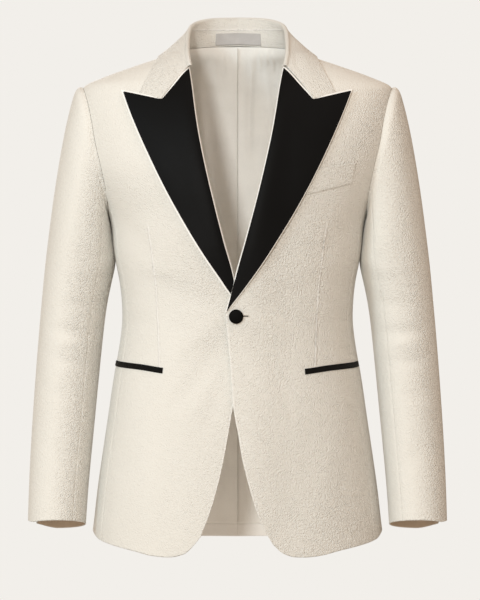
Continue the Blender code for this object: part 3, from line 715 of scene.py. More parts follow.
def shell(name, slot, face, under, materials, closed=False, bulge=0.3, lines=None):
    """Make a cloth piece from the grids of its outer and under faces, its edges rounded. The
    second material, if there is one, is on the under face."""
    rows, columns = face.shape[:2]
    count = rows * columns
    points = [face.reshape(-1, 3), under.reshape(-1, 3)]
    places = cloth_places(face).reshape(-1, 2)
    uvs = [places, places]
    quads = grid_quads(rows, columns, closed)
    faces = [quads, quads[:, ::-1] + count]
    thickness = np.linalg.norm(face - under, axis=-1, keepdims=True)
    middle = (face + under) / 2 + outward_edges(face, closed) * thickness * bulge
    start = 2 * count
    for picked in edge_loops(rows, columns, closed):
        rim = np.arange(start, start + len(picked))
        points.append(middle.reshape(-1, 3)[picked])
        uvs.append(places[picked])
        after = np.roll(picked, -1)
        rim_after = np.roll(rim, -1)
        faces.append(np.stack([after, picked, rim, rim_after], axis=-1))
        faces.append(np.stack([rim_after, rim, picked + count, after + count], axis=-1))
        start += len(picked)
    return build(name, np.concatenate(points), faces, np.concatenate(uvs), materials, lines)


def build(name, points, faces, uvs, materials, lines=None):
    """Make a smooth mesh object. The second block of faces has the second material."""
    mesh = bpy.data.meshes.new(name)
    quads = np.concatenate(faces)
    mesh.vertices.add(len(points))
    mesh.vertices.foreach_set("co", (points * MM).ravel())
    mesh.loops.add(quads.size)
    mesh.loops.foreach_set("vertex_index", quads.ravel().astype(np.int32))
    mesh.polygons.add(len(quads))
    mesh.polygons.foreach_set("loop_start", np.arange(0, quads.size, 4, dtype=np.int32))
    slots = np.zeros(len(quads), dtype=np.int32)
    if len(materials) > 1:
        slots[len(faces[0]):len(faces[0]) + len(faces[1])] = 1
    mesh.polygons.foreach_set("material_index", slots)
    layer = mesh.uv_layers.new(name="cloth")
    layer.data.foreach_set("uv", (uvs[quads.ravel()] * MM).ravel())
    for key, values in (lines or {}).items():
        attribute = mesh.attributes.new(key, "FLOAT", "POINT")
        filled = np.full(len(points), LINE_FAR if key == "line" else 0.0)
        filled[:values.size] = values.ravel()
        attribute.data.foreach_set("value", filled)
    mesh.update(calc_edges=True)
    mesh.validate()
    mesh.shade_smooth()
    for material in materials:
        mesh.materials.append(material)
    made = add_object(name, mesh)
    face_outwards(made)
    return made


def face_outwards(made):
    """Turn a closed mesh's faces over if they look inwards."""
    mesh = made.data
    mesh.calc_loop_triangles()
    corners = np.empty(len(mesh.loop_triangles) * 3, dtype=np.int32)
    mesh.loop_triangles.foreach_get("vertices", corners)
    points = np.empty(len(mesh.vertices) * 3)
    mesh.vertices.foreach_get("co", points)
    a, b, c = np.moveaxis(points.reshape(-1, 3)[corners.reshape(-1, 3)], 1, 0)
    if np.einsum("ij,ij->i", a, np.cross(b, c)).sum() < 0:
        mesh.flip_normals()
        mesh.update()


def line_field(x, z, line):
    """Return the signed distance of places (x, z) from a line, and 1 beside it, 0 past its ends."""
    line = np.asarray(line, float)
    best = np.full(x.shape, np.inf)
    signed = np.zeros(x.shape)
    past = np.zeros(x.shape)
    runs = np.diff(line, axis=0)
    for start, run, length in zip(line[:-1], runs, np.linalg.norm(runs, axis=1)):
        dx, dz = x - start[0], z - start[1]
        along = (dx * run[0] + dz * run[1]) / length ** 2
        inside = np.clip(along, 0, 1)
        distance = np.hypot(dx - inside * run[0], dz - inside * run[1])
        aside = (dx * run[1] - dz * run[0]) / length
        nearer = distance < best
        best = np.where(nearer, distance, best)
        signed = np.where(nearer, aside, signed)
        past = np.where(nearer, np.abs(along - inside) * length, past)
    share = np.clip(1 - past / LINE_FADE, 0, 1)
    return {"line": np.clip(signed, -LINE_FAR, LINE_FAR), "line_share": share}


# Materials

# The weave: noise drawn out into dashes, those that rise and those that fall
DASH_STRETCH = (0.70, 0.8, 1.0)
RISING_DASHES = (42, 660.0)
FALLING_DASHES = (-46, 600.0)
GRAIN_SCALE = 900.0
WEAVE_DEPTH = 0.0029

# The weave lies flatter where the cloth's own normal points against this way
BRUSH_WAY = (1.15, 0.0, -2.2)
BRUSHED_LEAST = 0.45
BRUSHED_MOST = 1.45

# Sewn lines, in metres: pick stitches beside an edge, and the colour and width of the painted highlight
# along the edge and on seam ridges
PAINTED_HIGHLIGHT_COLOUR = (0.95, 0.94, 0.91)
STITCH_INSET = 0.0045
STITCH_PITCH = 0.0062
STITCH_WIDTH = 0.0006
EDGE_HIGHLIGHT_WIDTH = 0.0020

# The seam along a piece's line, in millimetres: its width, and the ridge beside it
SEAM_WIDTH = 0.75
SEAM_RIDGE_SHIFT = 1.5
SEAM_RIDGE_WIDTH = 1.1

RIB_PITCH = 0.0024
RIBBON_PITCH = 0.0006


def new_material(name):
    """Return a new material and its node tree."""
    made = bpy.data.materials.new(name)
    made.use_nodes = True
    return made, made.node_tree


def fill(tree, made, inputs):
    """Fill a node's inputs, given as (socket, value or output) pairs."""
    for socket, value in inputs:
        if isinstance(value, bpy.types.NodeSocket):
            tree.links.new(value, made.inputs[socket])
        else:
            made.inputs[socket].default_value = value


def node(tree, kind, inputs=(), **settings):
    """Add a node. inputs are (socket, value or output) pairs."""
    made = tree.nodes.new(kind)
    for key, value in settings.items():
        setattr(made, key, value)
    fill(tree, made, inputs)
    return made


def dressed(made, colour, relief, roughness, specular=0.5, sheen=None):
    """Return the material with its shader filled in; sheen is a (weight, roughness) pair."""
    inputs = [("Base Color", colour), ("Normal", relief), ("Roughness", roughness),
              ("Specular IOR Level", specular)]
    if sheen:
        inputs += zip(("Sheen Weight", "Sheen Roughness"), sheen)
    fill(made.node_tree, made.node_tree.nodes["Principled BSDF"], inputs)
    return made


def math_node(tree, operation, first, second=0.0, third=0.0):
    """Return the result of one operation on numbers or outputs."""
    made = node(tree, "ShaderNodeMath", ((0, first), (1, second), (2, third)), operation=operation)
    return made.outputs[0]


def scaled(tree, value, factor, added=0.0):
    """Return value * factor + added."""
    return math_node(tree, "MULTIPLY_ADD", value, factor, added)


def wave(tree, place, rate):
    """Return the sine of the place times the rate."""
    return math_node(tree, "SINE", scaled(tree, place, rate))


def noise(tree, place, scale, detail=2.0, roughness=0.5):
    """Return soft noise that changes scale times in a metre."""
    made = node(tree, "ShaderNodeTexNoise", (
        ("Vector", place), ("Scale", scale), ("Detail", detail), ("Roughness", roughness)))
    return made.outputs["Fac"]


def slanted_noise(tree, place, slope, scale):
    """Return noise drawn out into short dashes that rise at the slope, seen from the front."""
    turn = (0, math.radians(slope), 0)
    turned_place = node(tree, "ShaderNodeMapping", (("Vector", place), ("Rotation", turn)))
    drawn_out = node(tree, "ShaderNodeMapping", (
        ("Vector", turned_place.outputs["Vector"]), ("Scale", DASH_STRETCH)))
    return noise(tree, drawn_out.outputs["Vector"], scale, detail=1.0)


def ramp(tree, value, *stops):
    """Map a value to colours; stops are (place, (r, g, b))."""
    made = node(tree, "ShaderNodeValToRGB", (("Fac", value),))
    elements = made.color_ramp.elements
    while len(elements) < len(stops):
        elements.new(0.5)
    for element, (place, colour) in zip(elements, stops):
        element.position = place
        element.color = (*colour, 1)
    return made.outputs["Color"]


def object_place(tree):
    return node(tree, "ShaderNodeTexCoord").outputs["Object"]


def cloth_place(tree):
    """Return the distances across and along the cloth, in metres."""
    made = node(tree, "ShaderNodeUVMap", uv_map="cloth")
    parts = node(tree, "ShaderNodeSeparateXYZ", (("Vector", made.outputs["UV"]),))
    return parts.outputs["X"], parts.outputs["Y"]


def bump(tree, height, distance, normal=None):
    """Return the normal of a relief, the distance high, over another normal if there is one."""
    inputs = [("Height", height), ("Distance", distance), ("Strength", 1.0)]
    if normal is not None:
        inputs.append(("Normal", normal))
    return node(tree, "ShaderNodeBump", inputs).outputs["Normal"]


def line_dent(tree, distance, width):
    """Return a narrow bell, 1 where distance is 0 and nearly 0 at twice the width."""
    share = math_node(tree, "DIVIDE", distance, width)
    return math_node(tree, "EXPONENT", scaled(tree, scaled(tree, share, share), -1.0))


def stitch_row(tree, across, along):
    """Return dimples of a row of pick stitches, inset from the edge where across is 0."""
    line = line_dent(tree, math_node(tree, "SUBTRACT", across, STITCH_INSET), STITCH_WIDTH)
    beat = scaled(tree, wave(tree, along, 2 * math.pi / STITCH_PITCH), 0.5, 0.5)
    return scaled(tree, line, math_node(tree, "POWER", beat, 6.0))


def brushed_share(tree):
    """Return how far the weave stands up: less where the cloth faces -X or upward."""
    facing = node(tree, "ShaderNodeTexCoord").outputs["Normal"]
    facing = node(tree, "ShaderNodeVectorMath", ((0, facing), (1, BRUSH_WAY)), operation="DOT_PRODUCT")
    raised = math_node(tree, "ADD", facing.outputs["Value"], 1.0)
    raised = math_node(tree, "MAXIMUM", raised, BRUSHED_LEAST)
    return math_node(tree, "MINIMUM", raised, BRUSHED_MOST)


def with_painted_highlight(tree, share, colour):
    """Return the colour, paler by the share: a painted highlight."""
    inputs = ((0, share), (6, colour), (7, (*PAINTED_HIGHLIGHT_COLOUR, 1)))
    return node(tree, "ShaderNodeMix", inputs, data_type="RGBA").outputs[2]


def cloth_material(name, stitched_with_highlight=False, seam_depth=None, brushed=True):
    """Ivory cloth with a relief weave: slanting ridges that cross, over a fine crepe grain, its tone
    following the relief as painted shade. It may have pick stitches and a painted highlight along its
    first column, and a seam along its line with a painted highlight on the ridge beside it."""
    made, tree = new_material(name)
    place = object_place(tree)
    rising = slanted_noise(tree, place, *RISING_DASHES)
    falling = slanted_noise(tree, place, *FALLING_DASHES)
    ridges = scaled(tree, falling, 0.45, scaled(tree, rising, 0.75))
    ridges = math_node(tree, "SUBTRACT", ridges, 0.60)
    grain = noise(tree, place, GRAIN_SCALE, detail=3.0, roughness=0.6)
    # Painted shade of the weave: the tone is paler on the raised ridges and grain and darker between
    # them. The broad noise varies it at random.
    tone = scaled(tree, ridges, 0.12, 0.42)
    tone = scaled(tree, grain, 0.10, tone)
    tone = scaled(tree, noise(tree, place, 9.0), 0.10, tone)
    colour = ramp(tree, tone, (0.30, (0.750, 0.725, 0.665)), (0.58, (0.830, 0.820, 0.775)),
                  (0.85, (0.885, 0.880, 0.845)))
    height = scaled(tree, grain, 0.12, ridges)
    if brushed:
        height = scaled(tree, height, brushed_share(tree))
    relief = bump(tree, height, WEAVE_DEPTH)
    if stitched_with_highlight:
        across, along = cloth_place(tree)
        # Painted highlight: the cloth is paler along its first column, at the rounded edge.
        edge = line_dent(tree, across, EDGE_HIGHLIGHT_WIDTH)
        colour = with_painted_highlight(tree, scaled(tree, edge, 0.6), colour)
        dimples = scaled(tree, stitch_row(tree, across, along), -1.0)
        relief = bump(tree, dimples, 0.0004, relief)
    if seam_depth is not None:
        distance = node(tree, "ShaderNodeAttribute", attribute_name="line").outputs["Fac"]
        share = node(tree, "ShaderNodeAttribute", attribute_name="line_share").outputs["Fac"]
        beside = math_node(tree, "ADD", distance, SEAM_RIDGE_SHIFT)
        seam = scaled(tree, line_dent(tree, distance, SEAM_WIDTH), share)
        ridge = scaled(tree, line_dent(tree, beside, SEAM_RIDGE_WIDTH), share)
        folded = scaled(tree, seam, -seam_depth, scaled(tree, ridge, 0.8))
        relief = bump(tree, folded, 0.0010, relief)
        # Painted highlight on the ridge beside the seam.
        colour = with_painted_highlight(tree, scaled(tree, ridge, 0.75), colour)
    return dressed(made, colour, relief, 0.82, 0.25, sheen=(0.12, 0.45))


def highlight_rim_material(name):
    """The smooth ivory cloth at the lapels' turned edges and on the hem turned up, painted paler than
    the body's cloth: a painted highlight along the lapels' edges.
    """
    made, tree = new_material(name)
    grain = noise(tree, object_place(tree), GRAIN_SCALE, detail=3.0)
    # Painted highlight: paler than the body's cloth.
    colour = ramp(tree, grain, (0.3, (0.93, 0.92, 0.89)), (0.7, (0.97, 0.965, 0.94)))
    return dressed(made, colour, bump(tree, grain, 0.0002), 0.7, 0.3)


def satin_material(name, colour, roughness, specular, weave=2600.0):
    """A close satin: fine slanting floats and faint cloudy changes of gloss."""
    made, tree = new_material(name)
    across, along = cloth_place(tree)
    floats = wave(tree, scaled(tree, along, 0.55, across), weave * 2)
    place = object_place(tree)
    cloud = noise(tree, place, 26.0, detail=3.0)
    fibre = noise(tree, place, 1500.0)
    tone = scaled(tree, fibre, 0.30, scaled(tree, cloud, 0.30, 0.20))
    shade = ramp(tree, tone, (0.2, shaded(colour, 0.82)), (0.8, shaded(colour, 1.20)))
    gloss = scaled(tree, cloud, 0.12, roughness - 0.06)
    height = scaled(tree, floats, 0.25, scaled(tree, fibre, 0.4))
    return dressed(made, shade, bump(tree, height, 0.00006), gloss, specular)


def shaded(colour, factor):
    return tuple(part * factor for part in colour)


def rib_material(name):
    """Black silk with slanting ribs, paler on their crests: a painted highlight."""
    made, tree = new_material(name)
    across, along = cloth_place(tree)
    ribs = wave(tree, scaled(tree, along, 1.4, across), 2 * math.pi / RIB_PITCH)
    fibre = noise(tree, object_place(tree), 1300.0)
    # Painted highlight: the tone rises with the ribs' relief.
    tone = scaled(tree, fibre, 0.25, scaled(tree, ribs, 0.28, 0.35))
    colour = ramp(tree, tone, (0.25, (0.0015, 0.0015, 0.0015)), (0.9, (0.010, 0.0098, 0.0092)))
    return dressed(made, colour, bump(tree, scaled(tree, fibre, 0.3, ribs), 0.00022), 0.55, 0.12)


def ribbon_material(name):
    """A bare grey woven ribbon with fine cross ribs."""
    made, tree = new_material(name)
    _, along = cloth_place(tree)
    ribs = wave(tree, along, 2 * math.pi / RIBBON_PITCH)
    place = object_place(tree)
    fibre = noise(tree, place, 1600.0)
    tone = scaled(tree, noise(tree, place, 60.0), 0.5, scaled(tree, fibre, 0.4))
    colour = ramp(tree, tone, (0.2, (0.42, 0.41, 0.40)), (0.8, (0.60, 0.59, 0.58)))
    return dressed(made, colour, bump(tree, scaled(tree, fibre, 0.4, ribs), 0.00005), 0.42)


def thread_material(name, colour):
    """Twisted silk thread; in a dark colour it also fills the buttonhole's slit as painted shade."""
    made, tree = new_material(name)
    fibre = noise(tree, object_place(tree), 2200.0)
    shade = ramp(tree, fibre, (0.3, shaded(colour, 0.78)), (0.7, colour))
    return dressed(made, shade, bump(tree, fibre, 0.0001), 0.6)


BLACK = (0.0046, 0.0046, 0.0047)
CLOTH = cloth_material("ivory_cloth")
CLOTH_EDGED = cloth_material("ivory_cloth_front", stitched_with_highlight=True, seam_depth=0.3)
CLOTH_SEAMED = cloth_material("ivory_cloth_seamed", seam_depth=0.0, brushed=False)
HIGHLIT_RIM_CLOTH = highlight_rim_material("ivory_rim_painted_highlight")
SATIN = satin_material("black_satin", BLACK, 0.50, 0.065)
# Painted light: the lining is nearly white, far paler than its own beige, standing in for light inside
# the jacket.
LINING = satin_material("lining_painted_paler", (0.93, 0.92, 0.885), 0.50, 0.40, weave=1800.0)
# Painted shade: the same lining, darker and browner inside the sleeves, where shade falls.
SHADED_SLEEVE_LINING = satin_material("sleeve_lining_painted_shade", (0.70, 0.59, 0.47), 0.50, 0.30, weave=1800.0)
RIB = rib_material("black_rib")
COVER = satin_material("button_cover", (0.0036, 0.0037, 0.0033), 0.60, 0.05, weave=1500.0)
RIBBON = ribbon_material("grey_ribbon")
IVORY_THREAD = thread_material("ivory_thread", (0.80, 0.76, 0.68))
# Painted shade: the dark tube that fills the buttonhole's slit.
SLIT_SHADE = thread_material("slit", (0.03, 0.027, 0.024))


# Pieces

# Each kind of piece: its name, its slot, the solid it stands for, its flat width, height and the
# share of that rectangle it fills, and the solids it rests on. {} is the side.
Kind = namedtuple("Kind", "piece slot solid flat rests_on")
KINDS = {
    "front": Kind("front_cloth_{}", "cloth", "front_{}", (262, 735, 0.80), ("front_{}",)),
    "side": Kind("side_cloth_{}", "cloth", "side_{}", (134, 492, 0.86), ("front_{}",)),
    "back": Kind("back_cloth_{}", "cloth", "back_{}", (256, 752, 0.86), ("back_{}",)),
    "lining": Kind("lining_cloth_{}", "lining", "lining_back_{}", (238, 712, 0.84), ("back_{}",)),
    "hem": Kind("hem_cloth_{}", "cloth", "hem_turn_up_{}", (205, 19, 1), ("back_{}",)),
    "lapel": Kind("lapel_cloth_{}", "cloth", "lapel_{}", (118, 372, 0.52), ("front_{}",)),
    "satin": Kind("lapel_facing_{}", "satin", "lapel_satin_{}", (115, 366, 0.52), ("lapel_{}",)),
    "collar": Kind("collar_cloth", "cloth", "collar", (530, 102, 0.66), ("back_left", "back_right")),
    "label": Kind("label_ribbon", "label", "neck_label", (64, 18, 1), ("collar",)),
    "breast_welt": Kind("breast_welt_cloth", "cloth", "breast_welt", (76, 34, 1), ("front_left",)),
    "hip_welt": Kind("hip_welt_cloth_{}", "rib", "hip_welt_{}", (118, 11, 1), ("front_{}",)),
    "upper": Kind("sleeve_cloth_upper_{}", "cloth", "sleeve_upper_{}", (176, 648, 0.86), ("front_{}",)),
    "under": Kind("sleeve_cloth_under_{}", "cloth", "sleeve_under_{}", (138, 560, 0.84), ("front_{}",)),
    "cuff": Kind("cuff_cloth_{}", "lining", "cuff_lining_{}", (286, 114, 1), ("sleeve_upper_{}",)),
}


def make_piece(kind, side, face, under, materials, **shape):
    """Make a cloth piece that rides on the body and stands for its solid."""
    entry = KINDS[kind]
    made = shell(entry.piece.format(side), entry.slot, mirrored(face, side), mirrored(under, side),
                 materials, **shape)
    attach(made, BODY)
    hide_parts(entry.solid.format(side))


def make_panel(kind, side, base, height, dips, cloth, lines=None):
    """Make a panel of the body: it stands on its base by the height and sinks at its seams."""
    normals = body_normal(base)
    face = base + normals * (height[..., None] - dips)
    make_piece(kind, side, face, face - normals * BODY_WALL, (cloth, LINING), lines=lines)


def turned(run, amount):
    """Shift a run of places round the body."""
    return run + np.array([amount, 0.0])


def panel_side(seam, armhole, fine):
    """Return the places up a panel's side seam and on up its armhole."""
    return chain(spaced(seam, SEAM_CELLS * fine), spaced(armhole[::-1], ARMHOLE_CELLS * fine))


def front_points(side):
    """Return the body's points under a front, rows from hem to shoulder, columns from its edge."""
    cut = CUTS[side]
    hem = np.concatenate([on_front(cut.hem), np.array(SIDE_FRONT_SEAM[:1], float)])
    neck = on_front(np.concatenate([[cut.roll[-1]], FRONT_NECK]))
    neck = np.concatenate([neck, np.array(SHOULDER_SEAM[-1:], float)])
    stretches = ((on_front(cut.cutaway), CUTAWAY_CELLS), (on_front(cut.edge), EDGE_CELLS),
                 (on_front(cut.roll), ROLL_CELLS), (neck, NECK_CELLS))
    inner = chain(*(spaced(line, cells * PANEL_REFINE) for line, cells in stretches))
    outer = turned(panel_side(SIDE_FRONT_SEAM, ARMHOLE_FRONT, PANEL_REFINE), -SEAM_TURN)
    columns = FRONT_COLUMNS * COLUMN_REFINE
    shoulder = turned(spaced(SHOULDER_SEAM[::-1], columns, NECK_CROWD), -SEAM_TURN)
    bottom = spaced(hem, columns)
    inner[-1], outer[-1] = shoulder[0], shoulder[-1]
    bottom[-1] = outer[0]
    return body_patch(bottom, shoulder, inner, outer)


def eased_hem(points):
    """Return a panel's points with the hem's corners at the body's two sides rounded off."""
    beyond = np.clip((np.abs(points[..., 0]) - HEM_CORNER_X) / HEM_CORNER_REACH, 0, 1)
    near = np.clip(1 - (points[..., 2] - HEM_CORNER_Z) / HEM_CORNER_FADE, 0, 1)
    points[..., 2] += HEM_CORNER_LIFT * beyond ** 2 * near
    return points


def make_front(side):
    """A front: sewn at the side, armhole and shoulder, with a dart and soft drag lines."""
    base = with_rims(eased_hem(front_points(side)))
    x, z = base[..., 0], base[..., 2]
    height = lap(x, side) + crease_heights(x, z, FRONT_CREASES)
    dips = seam_dips(base.shape[:2], top=1.0, right=0.5)
    # The dart's line: a seam whose ridge carries a painted highlight.
    make_panel("front", side, base, height, dips, CLOTH_EDGED, line_field(x, z, DART))


def make_side(side):
    """The panel under the arm, sewn all round but for the hem."""
    front = turned(spaced(SIDE_FRONT_SEAM, SEAM_CELLS * PANEL_REFINE), SEAM_TURN)
    back = turned(spaced(SIDE_BACK_SEAM, SEAM_CELLS * PANEL_REFINE), -SEAM_TURN)
    bottom = spaced(SIDE_HEM, SIDE_COLUMNS * COLUMN_REFINE)
    top = spaced(ARMHOLE_BASE, SIDE_COLUMNS * COLUMN_REFINE)
    bottom[0], bottom[-1] = front[0], back[0]
    top[0], top[-1] = front[-1], back[-1]
    base = with_rims(eased_hem(body_patch(bottom, top, front, back)))
    x, y, z = np.moveaxis(base, -1, 0)
    height = crease_heights(x, z, BACK_CREASES)
    height = np.where(y < 0, crease_heights(x, z, FRONT_CREASES), height)
    dips = seam_dips(base.shape[:2], top=1.0, left=1.0, right=1.0)
    make_panel("side", side, base, height, dips, CLOTH)


def back_points(fine, columns):
    """Return the body's points under a back, its columns from the side seam to the centre."""
    outer = turned(panel_side(SIDE_BACK_SEAM, ARMHOLE_BACK, fine), SEAM_TURN)
    low, middle, high = [(CENTRE_BACK_THETA, z) for z in CENTRE_BACK_Z]
    above = spaced((high, middle), ARMHOLE_CELLS * fine, NECK_CROWD)[::-1]
    centre = chain(spaced((low, middle), SEAM_CELLS * fine), above)
    shoulder = spaced(SHOULDER_SEAM[::-1], SHOULDER_COLUMNS * columns, NECK_CROWD)[::-1]
    top = chain(turned(shoulder, SEAM_TURN), spaced(BACK_NECK, BACK_NECK_COLUMNS * columns))
    bottom = spaced(BACK_HEM, (SHOULDER_COLUMNS + BACK_NECK_COLUMNS) * columns)
    bottom[0], bottom[-1] = outer[0], centre[0]
    outer[-1], centre[-1] = top[0], top[-1]
    return eased_hem(body_patch(bottom, top, outer, centre))


def make_back(side):
    """A back, with the centre seam at its last column."""
    base = with_rims(back_points(PANEL_REFINE, COLUMN_REFINE - 1))
    height = crease_heights(base[..., 0], base[..., 2], BACK_CREASES)
    dips = seam_dips(base.shape[:2], top=1.0, left=0.5, right=1.0)
    make_panel("back", side, base, height, dips, CLOTH)


def make_lining(side):
    """The back lining, with soft upright folds and a pleat at the centre, and the hem of the
    cloth turned up below it."""
    base = back_points(LINING_REFINE, LINING_COLUMNS)
    normals = body_normal(base)
    x, z = base[..., 0], base[..., 2]
    folds = LINING_FOLDS * crease_heights(x if side == "left" else -x, z, LINING_CREASES)
    pleat = PLEAT_RISE * np.exp(-x / PLEAT_REACH) * (side == "right")
    depth = (BODY_WALL + LINING_GAP + SEAM_DIP + folds + pleat)[..., None]
    hem_rows = int(round(LINING_REFINE * TURN_UP_SHARE)) + 1
    part = (slice(hem_rows - 1, -1), slice(LINING_COLUMNS, None))
    face, under = [with_rims((base - normals * inward)[part]) for inward in (depth, depth + LINING_WALL)]
    make_piece("lining", side, face, under, (LINING,))
    part = (slice(hem_rows), slice(LINING_COLUMNS, None))
    face, under = [with_rims(base[part] - normals[part] * (BODY_WALL + gap)) for gap in HEM_TURN_DEPTHS]
    make_piece("hem", side, face, under, (HIGHLIT_RIM_CLOTH,))


def lapel_grid(side):
    """Return the (x, z) grid of a lapel, its rows from the tip up, columns from the roll edge."""
    cut = CUTS[side]
    tip_inner, tip_outer = LAPEL_TIP[side]
    gorge_start = tuple(np.add(cut.roll[-1], GORGE_SHIFT))
    roll = tuple(point for point in cut.roll[:-1] if point[1] > tip_inner[1] + TIP_GAP)
    rows = LAPEL_ROWS * LAPEL_REFINE
    roll = spaced_flat((tip_inner,) + roll + (gorge_start,), rows)
    outer = spaced_flat((tip_outer,) + LAPEL_OUTER[side], rows)
    gorge = spaced_flat((gorge_start, NOTCH), GORGE_COLUMNS * LAPEL_REFINE)
    peak = spaced_flat((NOTCH, LAPEL_OUTER[side][-1]), PEAK_COLUMNS * LAPEL_REFINE)
    bottom = spaced_flat((tip_inner, tip_outer), (GORGE_COLUMNS + PEAK_COLUMNS) * LAPEL_REFINE)
    return patch(bottom, chain(gorge, peak), roll, outer)


def inset_grid(grid, insets):
    """Return the grid drawn in from its edges; insets are the distances square to the first and
    last column, then to the first and last row."""
    for axis, pair in ((1, insets[:2]), (0, insets[2:])):
        swapped = np.moveaxis(grid, axis, 0)
        flat = swapped[..., :2]
        along = travelled(flat)
        result = np.empty_like(swapped)
        steps = [reach(flat, pair[0], 0), reach(flat, pair[1], -1)]
        for line in range(flat.shape[1]):
            total = along[-1, line]
            first, last = [min(step[line], MOST_INSET * total) for step in steps]
            wanted = first + (along[:, line] / max(total, SHORTEST)) * (total - first - last)
            for channel in range(swapped.shape[-1]):
                result[:, line, channel] = np.interp(wanted, along[:, line], swapped[:, line, channel])
        grid = np.moveaxis(result, 0, axis)
    return grid


def reach(flat, inset, edge):
    """Return how far along each line of a grid the inset from its edge lies."""
    inside = 1 if edge == 0 else -2
    tangent = unit(np.gradient(flat[edge], axis=0))
    line = unit(flat[inside] - flat[edge])
    cross = np.abs(tangent[:, 0] * line[:, 1] - tangent[:, 1] * line[:, 0])
    return inset / np.maximum(cross, LEAST_CROSS)


def crossing_share(grid, side):
    """Return, for each row of a lapel, 1 where it crosses over the other one and 0 elsewhere."""
    distance = (grid[:, 0, 1] - CROSSING_Z) / CROSSING_REACH
    return np.exp(-distance ** 4) * (side == "left")


def make_lapel(side):
    """A lapel with a soft roll and its satin facing, which leaves a rim of cloth all round."""
    grid = lapel_grid(side)
    reached = travelled(grid, axis=1)
    share = reached / np.maximum(reached[:, -1:], SHORTEST)
    carried = np.concatenate([grid, reached[..., None], share[..., None]], axis=-1)
    crossing = crossing_share(carried, side)
    cloth = with_rims(inset_grid(carried, (CROSSING_TUCK * crossing, 0, 0, 0)))
    satin = with_rims(inset_grid(carried, (ROLL_INSET * (1 - crossing), *SATIN_INSETS[side])))
    satin[:, 0, 0] -= CROSSING_LAP * crossing_share(satin, side)
    # The satin's corner at the peak is rounded
    satin[-1, -1] = (satin[-1, -3] + satin[-3, -1]) / 2
    place, out, low = lapel_levels(cloth, side)
    under = place + out * (low - ROLL_UNDER * np.exp(-cloth[..., 2:3] / ROLL_UNDER_REACH))
    face = place + out * (low + LAPEL_WALL)
    # The lapel's cloth shows only at its rim, painted paler as a highlight.
    make_piece("lapel", side, face, under, (HIGHLIT_RIM_CLOTH,), bulge=LAPEL_BULGE)
    place, out, low = lapel_levels(satin, side)
    low = low + LAPEL_WALL + SATIN_SEAT
    face = place + out * (low + SATIN_WALL)
    make_piece("satin", side, face, place + out * low, (SATIN,), bulge=LAPEL_BULGE)


def lapel_levels(grid, side):
    """Return the body's points under a lapel, their normals and the height of its under face."""
    place = body_surface(on_front(grid[..., :2]))
    z = grid[..., 1]
    near = grid[..., 2] / ROLL_REACH
    low = SEAM_GAP + LAPEL_RISE * share_between(z, *LAPEL_RISE_Z) * grid[..., 3]
    low = low + ROLL_LIFT * share_between(z, *ROLL_Z) * near * np.exp(1 - near)
    low = low + lap(grid[..., 0], side)
    return place, body_normal(place), low[..., None]


def collar_lines(stations):
    """Return the fold, neck seam and outer edge of the collar's +X half, at its stations."""
    fold = lift(spaced(COLLAR_FOLD, stations), COLLAR_CLEARANCE + FOLD_RAISE)
    neck_front = on_front(np.array(FRONT_NECK[::-1] + (COLLAR_NECK_END,), float))
    neck = np.concatenate([np.array(BACK_NECK[::-1], float), neck_front])
    neck = body_surface(spaced(neck, stations))
    outward = body_normal(neck)
    level_part = np.linalg.norm(outward[:, :2], axis=1, keepdims=True)
    outward[:, 2] = 0
    clear = BODY_WALL * level_part + NECK_GAP + COLLAR_WALL
    tuck = np.interp(np.linspace(0, 1, len(neck)), STAND_TUCK_AT, STAND_TUCK)
    seam = neck - unit(outward) * clear - tuck[:, None] * [0, 0, 1]
    edge_front = on_front(np.linspace(*COLLAR_EDGE_FRONT, COLLAR_EDGE_POINTS))
    edge = np.concatenate([np.array(COLLAR_EDGE_BACK, float), edge_front])
    edge = lift(body_surface(spaced(edge, stations)), COLLAR_CLEARANCE)
    return fold, seam, edge


def collar_half():
    """Return the outer face of the collar's +X half: rows are stations, columns go from the neck
    seam up the stand, over the fold and down the fall."""
    fold, seam, edge = collar_lines(COLLAR_STATIONS * COLLAR_REFINE)
    tangent = unit(np.gradient(fold, axis=0))
    outward = unit(np.cross(tangent, [0, 0, 1.0]))
    outward *= np.sign(np.sum(outward * (edge - fold), axis=1, keepdims=True))
    upward = unit(np.cross(outward, tangent))
    upward *= np.sign(upward[:, 2:])
    turns = [math.radians(angle) for angle in np.linspace(180, 0, FOLD_COLUMNS)]
    arc = [fold + COLLAR_FOLD_RADIUS * (math.cos(turn) * outward + math.sin(turn) * upward)
           for turn in turns]
    along = np.linspace(0, 1, len(fold))[:, None]
    retreat = STAND_RETREAT * np.clip((along - RETREAT_START) / RETREAT_REACH, 0, 1)
    base = seam + (arc[0] - seam) * retreat
    stand = [base + (arc[0] - base) * share for share in np.linspace(0, 1, STAND_COLUMNS + 1)[:-1]]
    start = arc[-1]
    corner = body_surface(on_front(np.add(NOTCH, GORGE_COVER)[None]))
    corner = lift(corner, COLLAR_CLEARANCE)[0]
    cells = COLLAR_REFINE - 1
    front_end = chain(spaced((start[-1], corner), 3 * cells), spaced((corner, edge[-1]), 2 * cells))
    share = np.linspace(0, 1, len(front_end))[None, :, None]
    straight = start[:, None] * (1 - share) + edge[:, None] * share
    fade = np.linspace(0, 1, len(fold)) ** NOTCH_FADE
    fall = straight + fade[:, None, None] * (front_end - straight[-1])
    fall[:, 1:] = lift(fall[:, 1:], COLLAR_CLEARANCE)
    return np.concatenate([np.stack(stand + arc, axis=1), fall[:, 1:]], axis=1)


def both_halves(half):
    """Return a grid of rows from the right end, over the centre back, to the left end."""
    other = half[:0:-1] * np.array([-1.0, 1.0, 1.0])
    return np.concatenate([other, half])


